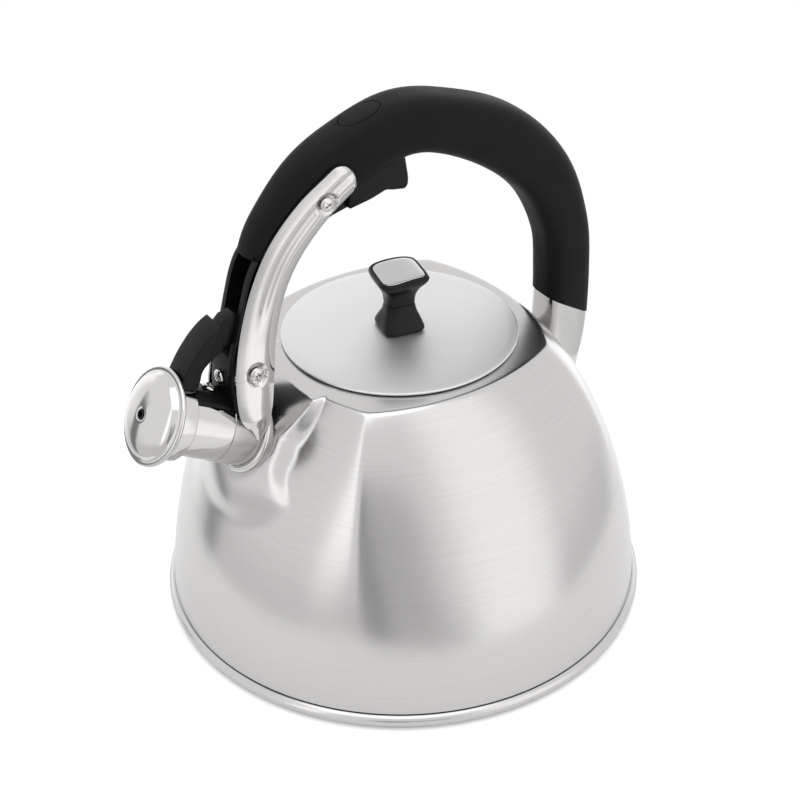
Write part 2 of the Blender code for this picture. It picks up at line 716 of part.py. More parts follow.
def make_cap_lever():
    """Lever that carries the cap: wide arm outside the leg, narrow hub and tail inside it."""
    neck = [(-81.0, 151.0), (-78.0, 153.8), (-74.0, 154.6), *round_end(CAP_PIVOT, HUB_R, 80.0, 50.0, 3)]
    neck += round_end((-62.4, 148.6), 1.7, 80.0, -80.0, 5)
    neck += [*round_end(CAP_PIVOT, HUB_R, -50.0, -95.0, 3), (-74.0, 142.8), (-81.0, 142.0)]
    hub = prism(neck, -LEVER_HUB_HALF, LEVER_HUB_HALF - SPRING_ROOM)
    obj = mesh_object("cap_lever", hub, BLACK, in_plane(CAP_PIVOT))
    outer = [(-79.4, 152.6), (-83.8, 150.3), (-87.8, 147.2), (-91.2, 143.6), (-94.2, 139.8)]
    foot = [(spout_point(along, across).x, spout_point(along, across).z) for along, across in LEVER_FOOT]
    inner = [(-89.2, 136.0), (-85.0, 139.2), (-79.4, 142.0)]
    wide = cutter("lever_arm", prism([*outer, *foot, *inner], -LEVER_ARM_HALF, LEVER_ARM_HALF))
    cut(obj, wide, "UNION")
    skirt_room = turn(bar_profile(SKIRT_R + GAP, 20.0, 60.0), 48, SPOUT_BASE, spout_axis())
    cut(obj, cutter("skirt_room", skirt_room))
    rivet_room = turn(bar_profile(RIVET_R + GAP, 10.0, SKIRT_R + 3.1), 12, spout_point(RIVET_S), spout_up())
    cut(obj, cutter("rivet_room", rivet_room))
    cross_bore(obj, CAP_PIVOT, PIN_R + 0.05, "cap_lever_bore")


def make_rod():
    """Flat bar between the trigger's front arm and the cap lever's tail."""
    top, foot = in_plane(ROD_TOP), in_plane(ROD_FOOT)
    side = (top - foot).normalized().cross(Y_AXIS) * ROD_DEPTH
    corners = [foot + side, foot - side, top - side, top + side]
    bm = prism([(corner.x, corner.z) for corner in corners], -ROD_HALF, ROD_HALF)
    mesh_object("push_rod", bm, BLACK, top)


def make_cap_spring():
    """Torsion spring on the cap's pin, beside the hub, with one leg forward and one leg down."""
    low = LEVER_HUB_HALF - SPRING_ROOM + GAP + SPRING_WIRE_R
    high = LEG_INNER_HALF - GAP - SPRING_WIRE_R
    steps = round(SPRING_TURNS * 12)
    centre = in_plane(CAP_PIVOT)
    path = [centre + Vector((-7.0, low, SPRING_R))]
    for i in range(steps + 1):
        angle = pi / 2 - 2 * pi * SPRING_TURNS * i / steps
        y = low + (high - low) * i / steps
        path.append(centre + Vector((SPRING_R * cos(angle), y, SPRING_R * sin(angle))))
    path.append(path[-1] + Vector((-7.0, 0.0, 0.0)))
    rings = []
    for i, point in enumerate(path):
        ahead = path[min(len(path) - 1, i + 1)] - path[max(0, i - 1)]
        side = ahead.cross(Y_AXIS).normalized()
        lift = side.cross(ahead).normalized()
        angles = [2 * pi * k / 6 for k in range(6)]
        rings.append([point + (side * cos(a) + lift * sin(a)) * SPRING_WIRE_R for a in angles])
    mesh_object("cap_spring", loft(rings), POLISHED)


def make_pins():
    """Pivot pins of both levers."""
    for name, pivot, half in (("trigger_pin", TRIGGER_PIVOT, 7.6), ("cap_pin", CAP_PIVOT, 5.9)):
        mesh_object(name, turn(bar_profile(PIN_R, -half, half), 16, in_plane(pivot), Y_AXIS), POLISHED)


# ---------------------------------------------------------------- lid


def make_lid():
    """Flat lid with its skirt and gasket."""
    low, top = LID_Z, LID_Z + LID_THICK
    disc = [
        (KNOB_BOLT_R + GAP, low + LID_RISE - 0.4),
        (30.0, low + 0.5 * LID_RISE),
        (LID_SKIRT_R, low),
        (LID_R - 0.4, low),
        (LID_R, low + 0.5),
        (LID_R - 0.3, top),
        (40.0, top + 0.3 * LID_RISE),
        (20.0, top + 0.8 * LID_RISE),
        (KNOB_BOLT_R + GAP, top + LID_RISE),
    ]
    mesh_object("lid_disc", turn(disc, 40), SATIN)
    inner = LID_SKIRT_R - LID_SKIRT_WALL
    high = LID_Z - GAP
    skirt = [
        (inner, high - LID_SKIRT_DEPTH),
        (LID_SKIRT_R, high - LID_SKIRT_DEPTH),
        (LID_SKIRT_R, high),
        (30.0, high),
        (30.0, high - 0.8),
        (inner, high - 0.8),
    ]
    mesh_object("lid_skirt", turn(skirt, 40), SATIN)
    edge = LID_SKIRT_R + GAP
    fin = MOUTH_R - GAP
    gasket = [(edge, high - 5.0), (fin, high - 4.2), (fin, high - 3.2), (edge, high - 2.4)]
    mesh_object("lid_gasket", turn(gasket, 40), SILICONE)


def knob_section(z, half_x, half_y, squareness, count=20):
    """Level superellipse ring of the knob, turned with it."""
    ring = []
    for i in range(count):
        angle = 2 * pi * (i + 0.5) / count
        c, s = cos(angle), sin(angle)
        reach = (abs(c) ** squareness + abs(s) ** squareness) ** (-1 / squareness)
        point = Vector((half_x * reach * c, half_y * reach * s, z))
        point.rotate(Matrix.Rotation(KNOB_TURN, 3, "Z"))
        ring.append(point)
    return ring


def make_knob():
    """Two moulded halves with a steel inlay on top, and the bolt with its washer under the lid."""
    base = LID_Z + LID_THICK + LID_RISE + GAP
    lower = [knob_section(base + row[0], *row[1:]) for row in KNOB_BASE_ROWS]
    lower.append(knob_section(base + KNOB_SEAM, *KNOB_NECK))
    foot = mesh_object("knob_base", loft(lower), BLACK)
    upper = [knob_section(base + KNOB_SEAM + GAP, *KNOB_NECK)]
    upper += [knob_section(base + row[0], *row[1:]) for row in KNOB_TOP_ROWS]
    _, rim_x, rim_y, square = KNOB_TOP_ROWS[-1]
    top_z = base + KNOB_HEIGHT
    upper.append(knob_section(top_z, rim_x - 0.2, rim_y - 0.2, square))
    top = mesh_object("knob_top", loft(upper), BLACK)
    long_half, short_half = rim_x - 0.2 - INLAY_RIM, rim_y - 0.2 - INLAY_RIM
    recess = [
        knob_section(z, long_half + GAP, short_half + GAP, square)
        for z in (top_z - INLAY_DEPTH - GAP, top_z + 5.0)
    ]
    cut(top, cutter("inlay_recess", loft(recess)))
    inlay = [knob_section(z, long_half, short_half, square) for z in (top_z - INLAY_DEPTH, top_z)]
    mesh_object("knob_inlay", loft(inlay), SATIN)
    room = turn(bar_profile(KNOB_BOLT_R + GAP, -5.0, KNOB_SEAM + 5.4), 16, Vector((0.0, 0.0, base)))
    bolt_room = cutter("bolt_room", room)
    cut(foot, bolt_room)
    cut(top, bolt_room)
    under = LID_Z + LID_RISE - 0.4
    head = under - 0.8 - 2 * GAP
    bolt = [(0.0, head - 1.2), (3.6, head - 1.2), (3.6, head), (KNOB_BOLT_R, head)]
    bolt += [(KNOB_BOLT_R, base + KNOB_SEAM + 5.0), (0.0, base + KNOB_SEAM + 5.0)]
    mesh_object("knob_bolt", turn(bolt, 16), POLISHED)
    ring = KNOB_BOLT_R + GAP
    washer = [(ring, head + GAP), (6.0, head + GAP), (6.0, under - GAP), (ring, under - GAP)]
    mesh_object("knob_washer", turn(washer, 20), POLISHED)


def main():
    """Build every piece."""
    clear_scene()
    block = cutter("body_block", body_block(GAP))
    make_body()
    make_foot()
    make_spout(block)
    make_whistle()
    make_grip()
    make_grip_plug()
    make_cheeks(*make_front_leg(block))
    make_ferrule(block)
    make_trigger()
    make_cap_lever()
    make_rod()
    make_pins()
    make_cap_spring()
    make_lid()
    make_knob()


main()
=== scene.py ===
"""Stovetop whistling kettle: fine surfaces and finishes around the fixed frame.

Sizes are in millimetres on the frame's axes: +Z is up, the spout points to -X, and the XZ plane is the plane
of symmetry. Meshes turn into metres when Workshop makes an object of them.
"""

import logging
from dataclasses import dataclass
from enum import Enum
from math import cos, exp, hypot, pi, radians, sin, sqrt
from typing import Callable, Iterable, Sequence

import bmesh
import bpy
from mathutils import Matrix, Vector


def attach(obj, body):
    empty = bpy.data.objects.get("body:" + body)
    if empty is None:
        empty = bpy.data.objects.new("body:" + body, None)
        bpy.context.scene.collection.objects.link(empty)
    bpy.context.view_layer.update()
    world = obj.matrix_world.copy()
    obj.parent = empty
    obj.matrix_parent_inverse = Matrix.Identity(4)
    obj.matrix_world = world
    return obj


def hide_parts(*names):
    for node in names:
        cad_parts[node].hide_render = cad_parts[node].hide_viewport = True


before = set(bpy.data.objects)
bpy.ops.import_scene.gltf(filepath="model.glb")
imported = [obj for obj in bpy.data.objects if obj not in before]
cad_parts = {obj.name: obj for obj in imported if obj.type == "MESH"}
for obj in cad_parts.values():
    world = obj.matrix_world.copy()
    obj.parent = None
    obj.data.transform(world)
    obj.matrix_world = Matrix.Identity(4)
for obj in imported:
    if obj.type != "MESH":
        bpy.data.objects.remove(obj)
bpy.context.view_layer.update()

LOG = logging.getLogger("kettle")

MM = 0.001
GAP = 0.3
TAU = 2 * pi
X_AXIS = Vector((1.0, 0.0, 0.0))
Y_AXIS = Vector((0.0, 1.0, 0.0))
Z_AXIS = Vector((0.0, 0.0, 1.0))
ORIGIN = Vector((0.0, 0.0, 0.0))

Plane2 = tuple[float, float]
Ring = list[Vector]


class Body(Enum):
    """The frame's bodies that get finer meshes here."""

    KETTLE = "kettle"
    CAP = "cap"
    TRIGGER = "trigger"
    LID = "lid"


class Slot(Enum):
    """The record's material slots."""

    SATIN = "satin_steel"
    POLISHED = "polished_steel"
    FASTENER = "fasteners"
    SPREADER = "spreader"
    GRIP = "soft_grip"
    PLASTIC = "black_plastic"
    SILICONE = "silicone"


# ---------------------------------------------------------------- outlines and meshes


def arc(cx: float, cy: float, radius: float, start: float, end: float, count: int) -> list[Plane2]:
    """Points on an arc.

    Args:
        cx, cy: centre of the arc.
        radius: its radius.
        start, end: angles in degrees.
        count: number of points.

    Returns:
        The points in order.
    """
    angles = [radians(start + (end - start) * i / (count - 1)) for i in range(count)]
    return [(cx + radius * cos(a), cy + radius * sin(a)) for a in angles]


def fillet(points: Sequence[Sequence[float]], radius: float, steps: int = 4) -> list[Plane2]:
    """Round every corner of a closed outline.

    Args:
        points: corners as (x, y), or (x, y, reach) where a corner has its own rounding.
        radius: how far from a corner its rounding starts.
        steps: segments in each rounding.

    Returns:
        The rounded outline.
    """
    rounded: list[Plane2] = []
    for i, point in enumerate(points):
        before, here = Vector(points[i - 1][:2]), Vector(point[:2])
        after = Vector(points[(i + 1) % len(points)][:2])
        wanted = point[2] if len(point) > 2 else radius
        reach = min(wanted, (before - here).length * 0.48, (after - here).length * 0.48)
        if reach < 1e-3:
            rounded.append((here.x, here.y))
            continue
        start = here + (before - here).normalized() * reach
        end = here + (after - here).normalized() * reach
        for k in range(steps + 1):
            t = k / steps
            spot = start * (1 - t) ** 2 + here * (2 * t * (1 - t)) + end * t * t
            rounded.append((spot.x, spot.y))
    return rounded


def smooth_rows(stations: Sequence[Sequence[float]], steps: int) -> list[tuple[float, ...]]:
    """Catmull-Rom rows through the stations.

    Args:
        stations: rows of numbers that belong together.
        steps: rows for each gap between stations.

    Returns:
        The finer rows, ends included.
    """
    rows: list[tuple[float, ...]] = []
    last = len(stations) - 1
    for i in range(last):
        around = [stations[max(0, min(last, i + k))] for k in (-1, 0, 1, 2)]
        for step in range(steps):
            t = step / steps
            row = []
            for a, b, c, d in zip(*around):
                curve = (2 * a - 5 * b + 4 * c - d) * t * t + (3 * b - a - 3 * c + d) * t**3
                row.append(0.5 * (2 * b + (c - a) * t + curve))
            rows.append(tuple(row))
    rows.append(tuple(stations[last]))
    return rows


def normals_along(rows: Sequence[Sequence[float]]) -> list[Plane2]:
    """Unit normals in the XZ plane on the outer side of a path that runs to +X."""
    found = []
    for i, _ in enumerate(rows):
        before, after = rows[max(0, i - 1)], rows[min(len(rows) - 1, i + 1)]
        dx, dz = after[0] - before[0], after[1] - before[1]
        length = hypot(dx, dz) or 1.0
        found.append((-dz / length, dx / length))
    return found


def blend_step(low: float, high: float, value: float) -> float:
    """Smooth step from 0 at low to 1 at high."""
    t = max(0.0, min(1.0, (value - low) / (high - low)))
    return t * t * (3 - 2 * t)


def superellipse(depth: float, width: float, exponent: float, count: int) -> list[Plane2]:
    """Closed section of half sizes depth and width."""
    section = []
    for i in range(count):
        angle = TAU * (i + 0.5) / count
        c, s = cos(angle), sin(angle)
        out = depth * abs(c) ** (2 / exponent) * (1 if c > 0 else -1)
        side = width * abs(s) ** (2 / exponent) * (1 if s > 0 else -1)
        section.append((out, side))
    return section


def loft(rings: Sequence[Iterable[Vector]], closed: bool = False) -> bmesh.types.BMesh:
    """Join rings of equal length with quads.

    Args:
        rings: rows of points, each closed on itself.
        closed: whether the last ring joins the first; otherwise both ends are capped.

    Returns:
        A new mesh in millimetres.
    """
    bm = bmesh.new()
    rows = [[bm.verts.new(point) for point in ring] for ring in rings]
    pairs = list(zip(rows, rows[1:]))
    if closed:
        pairs.append((rows[-1], rows[0]))
    for low, high in pairs:
        for i in range(len(low)):
            j = (i + 1) % len(low)
            bm.faces.new((low[i], low[j], high[j], high[i]))
    if not closed:
        bm.faces.new(rows[0])
        bm.faces.new(rows[-1])
    return bm


def lathe(
    outline: Sequence[Plane2], segments: int, base: Vector = ORIGIN, axis: Vector = Z_AXIS
) -> bmesh.types.BMesh:
    """Revolve a closed outline of (radius, height).

    Args:
        outline: the section, either touching the axis or clear of it.
        segments: steps round the axis.
        base: where height 0 is on the axis.
        axis: direction of the axis.

    Returns:
        A new mesh in millimetres.
    """
    bm = bmesh.new()
    turned = Z_AXIS.rotation_difference(axis).to_matrix()
    rows = []
    for radius, height in outline:
        steps = 1 if radius < 1e-6 else segments
        spots = [(radius * cos(TAU * i / steps), radius * sin(TAU * i / steps), height) for i in range(steps)]
        rows.append([bm.verts.new(base + turned @ Vector(spot)) for spot in spots])
    for low, high in zip(rows, rows[1:] + rows[:1]):
        if len(low) == 1 and len(high) == 1:
            continue
        for i in range(segments):
            j = (i + 1) % segments
            corners = (low[i % len(low)], low[j % len(low)], high[j % len(high)], high[i % len(high)])
            bm.faces.new(tuple(dict.fromkeys(corners)))
    return bm


def sweep(rows: Sequence[Sequence[float]], section: Callable[..., list[Plane2]]) -> list[Ring]:
    """Rings of a section carried along a path in the XZ plane.

    Args:
        rows: path points as (x, z, sizes...).
        section: gives (out, side) points for the sizes of a row.

    Returns:
        One ring for each row.
    """
    rings = []
    for row, (nx, nz) in zip(rows, normals_along(rows)):
        x, z = row[0], row[1]
        rings.append([Vector((x + nx * out, side, z + nz * out)) for out, side in section(*row[2:])])
    return rings


def slab(
    outline: Sequence[Plane2], low: float, high: float, edge: float, steps: int = 4
) -> bmesh.types.BMesh:
    """Plate between two values of y, cut from an outline of (x, z), with its edges rounded over.

    Args:
        outline: closed outline, already rounded at its corners.
        low, high: the two faces.
        edge: radius of the rounded edges.
        steps: segments in each edge.

    Returns:
        A new mesh in millimetres.
    """
    count = len(outline)
    area = sum(outline[i - 1][0] * outline[i][1] - outline[i][0] * outline[i - 1][1] for i in range(count))
    turn = 1 if area > 0 else -1
    normals = []
    for i in range(count):
        ahead = Vector(outline[(i + 1) % count]) - Vector(outline[i - 1])
        ahead = ahead.normalized() * turn
        normals.append((ahead.y, -ahead.x))
    turns = [pi / 2 * k / steps for k in range(steps + 1)]
    shape = [(edge * (1 - sin(a)), edge * (1 - cos(a))) for a in turns]
    levels = [(inset, low + rise) for inset, rise in shape]
    levels += [(inset, high - rise) for inset, rise in reversed(shape)]
    rings = []
    for inset, y in levels:
        pairs = zip(outline, normals)
        rings.append([Vector((x - nx * inset, y, z - nz * inset)) for (x, z), (nx, nz) in pairs])
    return loft(rings)


# ---------------------------------------------------------------- workshop


class Workshop:
    """Turns meshes into dressed pieces of the kettle."""

    @staticmethod
    def raw(name: str, bm: bmesh.types.BMesh, sharp: float = 40.0) -> bpy.types.Object:
        """Make an object in metres.

        Args:
            name: its name.
            bm: a mesh in millimetres, which is used up.
            sharp: angle in degrees above which an edge stays sharp.

        Returns:
            The new object.
        """
        bmesh.ops.remove_doubles(bm, verts=bm.verts, dist=1e-4)
        bmesh.ops.recalc_face_normals(bm, faces=bm.faces)
        bmesh.ops.scale(bm, verts=bm.verts, vec=(MM, MM, MM))
        mesh = bpy.data.meshes.new(name)
        bm.to_mesh(mesh)
        bm.free()
        mesh.shade_smooth()
        mesh.set_sharp_from_angle(angle=radians(sharp))
        obj = bpy.data.objects.new(name, mesh)
        bpy.context.scene.collection.objects.link(obj)
        return obj

    @staticmethod
    def combine(obj: bpy.types.Object, tool: bmesh.types.BMesh, operation: str = "DIFFERENCE") -> None:
        """Apply an exact Boolean with a tool that is then thrown away.

        Args:
            obj: the piece to change.
            tool: mesh in millimetres.
            operation: DIFFERENCE, UNION or INTERSECT.
        """
        other = Workshop.raw("tool", tool)
        modifier = obj.modifiers.new("Cut", "BOOLEAN")
        modifier.operation = operation
        modifier.solver = "EXACT"
        modifier.object = other
        graph = bpy.context.evaluated_depsgraph_get()
        shaped = bpy.data.meshes.new_from_object(obj.evaluated_get(graph))
        obj.modifiers.clear()
        old = obj.data
        obj.data = shaped
        bpy.data.meshes.remove(old)
        bpy.data.objects.remove(other, do_unlink=True)

    @staticmethod
    def soften(obj: bpy.types.Object, width: float, angle: float = 35.0, segments: int = 2) -> None:
        """Round the sharp edges of a piece by width millimetres."""
        bevel = obj.modifiers.new("Edge", "BEVEL")
        bevel.width = width * MM
        bevel.segments = segments
        bevel.limit_method = "ANGLE"
        bevel.angle_limit = radians(angle)
        bevel.use_clamp_overlap = True
        bevel.harden_normals = True

    @staticmethod
    def dress(obj: bpy.types.Object, finish: "Finish", body: Body, *nodes: str) -> bpy.types.Object:
        """Give a piece its finish and its body, and hide the frame nodes that it stands for.

        Args:
            obj: the piece, in place.
            finish: what it is made of.
            body: the body it moves with.
            nodes: frame nodes that it replaces.

        Returns:
            The piece.
        """
        obj.data.materials.clear()
        obj.data.materials.append(finish.material())
        obj.data.shade_smooth()
        obj.data.set_sharp_from_angle(angle=radians(38.0))
        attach(obj, body.value)
        if nodes:
            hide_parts(*nodes)
        LOG.info("%s rides on %s in %s", obj.name, body.value, finish.name)
        return obj


# ---------------------------------------------------------------- shared shader effects


class Desk:
    """Places and joins shader nodes in one tree."""

    def __init__(self, tree: bpy.types.NodeTree) -> None:
        """Work on tree."""
        self.tree = tree

    def add(self, kind: str, **settings: object) -> bpy.types.Node:
        """Place a node of a kind and set its attributes."""
        node = self.tree.nodes.new(kind)
        for key, value in settings.items():
            setattr(node, key, value)
        return node

    def join(self, source: bpy.types.NodeSocket, target: bpy.types.NodeSocket) -> None:
        """Link two sockets."""
        self.tree.links.new(source, target)

    def math(self, operation: str, first: object, second: object = None) -> bpy.types.NodeSocket:
        """Place a Math node.

        Args:
            operation: the node's operation.
            first, second: sockets or numbers.

        Returns:
            Its output socket.
        """
        node = self.add("ShaderNodeMath", operation=operation)
        for socket, value in zip(node.inputs, (first, second)):
            if isinstance(value, bpy.types.NodeSocket):
                self.join(value, socket)
            elif value is not None:
                socket.default_value = value
        return node.outputs[0]

    def noise(self, vector: bpy.types.NodeSocket, scale: float, detail: float) -> bpy.types.NodeSocket:
        """Place a noise texture and return its value socket."""
        node = self.add("ShaderNodeTexNoise")
        node.inputs["Scale"].default_value = scale
        node.inputs["Detail"].default_value = detail
        self.join(vector, node.inputs["Vector"])
        return node.outputs[0]


def new_group(
    name: str, ins: dict[str, tuple[str, object]], outs: Sequence[str]
) -> tuple[Desk, bpy.types.Node, bpy.types.Node]:
    """Start a shader node group.

    Args:
        name: name of the group.
        ins: input name to its socket kind and default.
        outs: names of its value outputs.

    Returns:
        A desk on its tree, its input node and its output node.
    """
    tree = bpy.data.node_groups.new(name, "ShaderNodeTree")
    for label, (kind, default) in ins.items():
        socket = tree.interface.new_socket(name=label, in_out="INPUT", socket_type=kind)
        if default is not None:
            socket.default_value = default
    for label in outs:
        tree.interface.new_socket(name=label, in_out="OUTPUT", socket_type="NodeSocketFloat")
    desk = Desk(tree)
    return desk, desk.add("NodeGroupInput"), desk.add("NodeGroupOutput")


class Effects:
    """Node groups that several finishes share, each built once."""

    _made: dict[str, bpy.types.NodeTree] = {}

    @classmethod
    def brushing(cls) -> bpy.types.NodeTree:
        """Fine drawn lines: noise stretched along the brushing.

        Returns:
            A group with Height, Streak and Cloud outputs.
        """
        if "brushing" not in cls._made:
            stretch = ("NodeSocketVector", (40.0, 40.0, 3000.0))
            ins = {"Vector": ("NodeSocketVector", None), "Stretch": stretch}
            desk, start, end = new_group("brushing", ins, ("Height", "Streak", "Cloud"))
            spread = desk.add("ShaderNodeVectorMath", operation="MULTIPLY")
            desk.join(start.outputs["Vector"], spread.inputs[0])
            desk.join(start.outputs["Stretch"], spread.inputs[1])
            desk.join(desk.noise(spread.outputs[0], 1.0, 3.0), end.inputs["Height"])
            desk.join(desk.noise(spread.outputs[0], 0.23, 2.0), end.inputs["Streak"])
            desk.join(desk.noise(start.outputs["Vector"], 21.0, 2.0), end.inputs["Cloud"])
            cls._made["brushing"] = desk.tree
        return cls._made["brushing"]

    @classmethod
    def handling(cls) -> bpy.types.NodeTree:
        """Faint smudges and wiping marks of a used surface.

        Returns:
            A group with one Smudge output between 0 and Amount.
        """
        if "handling" not in cls._made:
            ins = {
                "Vector": ("NodeSocketVector", None),
                "Scale": ("NodeSocketFloat", 60.0),
                "Amount": ("NodeSocketFloat", 0.05),
            }
            desk, start, end = new_group("handling", ins, ("Smudge",))
            cloud = desk.add("ShaderNodeTexNoise")
            cloud.inputs["Detail"].default_value = 5.0
            desk.join(start.outputs["Vector"], cloud.inputs["Vector"])
            desk.join(start.outputs["Scale"], cloud.inputs["Scale"])
            ramp = desk.add("ShaderNodeMapRange")
            ramp.inputs["From Min"].default_value = 0.42
            ramp.inputs["From Max"].default_value = 0.72
            desk.join(cloud.outputs[0], ramp.inputs["Value"])
            desk.join(start.outputs["Amount"], ramp.inputs["To Max"])
            desk.join(ramp.outputs[0], end.inputs["Smudge"])
            cls._made["handling"] = desk.tree
        return cls._made["handling"]

    @classmethod
    def moulded(cls) -> bpy.types.NodeTree:
        """Fine skin of a moulded surface.

        Returns:
            A group with Height and Mottle outputs.
        """
        if "moulded" not in cls._made:
            ins = {"Vector": ("NodeSocketVector", None), "Scale": ("NodeSocketFloat", 3500.0)}
            desk, start, end = new_group("moulded", ins, ("Height", "Mottle"))
            grain = desk.add("ShaderNodeTexNoise")
            grain.inputs["Detail"].default_value = 3.0
            grain.inputs["Roughness"].default_value = 0.65
            desk.join(start.outputs["Vector"], grain.inputs["Vector"])
            desk.join(start.outputs["Scale"], grain.inputs["Scale"])
            desk.join(grain.outputs[0], end.inputs["Height"])
            desk.join(desk.noise(start.outputs["Vector"], 90.0, 4.0), end.inputs["Mottle"])
            cls._made["moulded"] = desk.tree
        return cls._made["moulded"]


# ---------------------------------------------------------------- finishes


@dataclass(frozen=True)
class Finish:
    """What a surface is made of; subclasses add its effects."""

    name: str
    slot: Slot
    colour: tuple[float, float, float]
    roughness: float

    def material(self) -> bpy.types.Material:
        """Build the finish's material the first time, and return it."""
        found = bpy.data.materials.get(self.name)
        if found:
            return found
        made = bpy.data.materials.new(self.name)
        made.use_nodes = True
        desk = Desk(made.node_tree)
        shader = made.node_tree.nodes["Principled BSDF"]
        shader.inputs["Base Color"].default_value = (*self.colour, 1.0)
        shader.inputs["Roughness"].default_value = self.roughness
        place = desk.add("ShaderNodeTexCoord").outputs["Object"]
        self.detail(desk, shader, place)
        return made

    def detail(self, desk: Desk, shader: bpy.types.Node, place: bpy.types.NodeSocket) -> None:
        """Add what this kind of finish shows."""

    def tinted(self, desk: Desk, shader: bpy.types.Node, mask: bpy.types.NodeSocket, shade: float) -> None:
        """Vary the base colour between itself and a shade of itself.

        Args:
            desk: the material's desk.
            shader: its Principled node.
            mask: value that picks the shade.
            shade: factor of the second colour.
        """
        mix = desk.add("ShaderNodeMix", data_type="RGBA")
        mix.inputs["A"].default_value = (*self.colour, 1.0)
        mix.inputs["B"].default_value = (*(c * shade for c in self.colour), 1.0)
        desk.join(mask, mix.inputs["Factor"])
        desk.join(mix.outputs["Result"], shader.inputs["Base Color"])

    @staticmethod
    def raised(
        desk: Desk, shader: bpy.types.Node, height: bpy.types.NodeSocket, strength: float, reach: float
    ) -> None:
        """Feed a height into the shader's normal through a Bump node."""
        bump = desk.add("ShaderNodeBump")
        bump.inputs["Strength"].default_value = strength
        bump.inputs["Distance"].default_value = reach
        desk.join(height, bump.inputs["Height"])
        desk.join(bump.outputs["Normal"], shader.inputs["Normal"])


@dataclass(frozen=True)
class Steel(Finish):
    """Stainless steel, from satin to mirror."""

    stretch: tuple[float, float, float] = (40.0, 40.0, 3000.0)
    relief: float = 0.1
    streak: float = 0.08
    smudge: float = 0.03

    def detail(self, desk: Desk, shader: bpy.types.Node, place: bpy.types.NodeSocket) -> None:
        """Brushed lines in colour, roughness and normal, with faint handling marks."""
        shader.inputs["Metallic"].default_value = 1.0
        lines = desk.add("ShaderNodeGroup", node_tree=Effects.brushing())
        lines.inputs["Stretch"].default_value = self.stretch
        desk.join(place, lines.inputs["Vector"])
        marks = desk.add("ShaderNodeGroup", node_tree=Effects.handling())
        marks.inputs["Amount"].default_value = self.smudge
        desk.join(place, marks.inputs["Vector"])
        swing = desk.math("MULTIPLY", desk.math("SUBTRACT", lines.outputs["Streak"], 0.5), self.streak)
        total = desk.math("ADD", desk.math("ADD", swing, self.roughness), marks.outputs["Smudge"])
        desk.join(total, shader.inputs["Roughness"])
        self.tinted(desk, shader, lines.outputs["Streak"], 0.93)
        self.raised(desk, shader, lines.outputs["Height"], self.relief, 2e-5)


@dataclass(frozen=True)
class Moulding(Finish):
    """Moulded plastic or rubber with a fine skin."""

    grain: float = 3500.0
    relief: float = 0.25
    gloss: float = 0.5
    shade: float = 1.5

    def detail(self, desk: Desk, shader: bpy.types.Node, place: bpy.types.NodeSocket) -> None:
        """Moulded skin in the normal, with mottled colour and roughness."""
        shader.inputs["Specular IOR Level"].default_value = self.gloss
        skin = desk.add("ShaderNodeGroup", node_tree=Effects.moulded())
        skin.inputs["Scale"].default_value = self.grain
        desk.join(place, skin.inputs["Vector"])
        marks = desk.add("ShaderNodeGroup", node_tree=Effects.handling())
        marks.inputs["Amount"].default_value = 0.06
        desk.join(place, marks.inputs["Vector"])
        desk.join(desk.math("ADD", marks.outputs["Smudge"], self.roughness), shader.inputs["Roughness"])
        self.tinted(desk, shader, skin.outputs["Mottle"], self.shade)
        self.raised(desk, shader, skin.outputs["Height"], self.relief, 4e-5)


RINGED = (90.0, 90.0, 4200.0)
CROSSED = (160.0, 3600.0, 160.0)
EVEN = (600.0, 600.0, 600.0)

SATIN_BODY = Steel("satin_body", Slot.SATIN, (0.56, 0.551, 0.546), 0.205, RINGED, 0.10, 0.08, 0.03)
SATIN_LID = Steel("satin_lid", Slot.SATIN, (0.7, 0.695, 0.692), 0.5, RINGED, 0.05, 0.08, 0.02)
SATIN_INLAY = Steel("satin_inlay", Slot.SATIN, (0.5, 0.495, 0.5), 0.22, CROSSED, 0.05, 0.06, 0.02)
MIRROR = Steel("mirror_steel", Slot.POLISHED, (0.60, 0.592, 0.58), 0.05, RINGED, 0.01, 0.02, 0.02)
BRIGHT = Steel("bright_fastener", Slot.FASTENER, (0.62, 0.61, 0.59), 0.16, EVEN, 0.06, 0.06, 0.06)
ALUMINIUM = Steel("rolled_aluminium", Slot.SPREADER, (0.62, 0.62, 0.64), 0.38, CROSSED, 0.2, 0.12, 0.05)
SOFT_TOUCH = Moulding("soft_touch", Slot.GRIP, (0.0036, 0.0036, 0.0042), 0.54, 5200.0, 0.15, 0.12)
BLACK = Moulding("black_moulding", Slot.PLASTIC, (0.0036, 0.0034, 0.0038), 0.36, 4200.0, 0.1, 0.16)
KNOB_BLACK = Moulding("knob_moulding", Slot.PLASTIC, (0.0044, 0.0034, 0.004), 0.3, 4200.0, 0.08, 0.2)
SILICONE = Moulding("silicone", Slot.SILICONE, (0.5, 0.5, 0.48), 0.55, 2500.0, 0.2, 0.5, 0.85)


# ---------------------------------------------------------------- shared layout


def bar(radius: float, low: float, high: float) -> list[Plane2]:
    """Outline of a solid round bar."""
    return [(0.0, low), (radius, low), (radius, high), (0.0, high)]


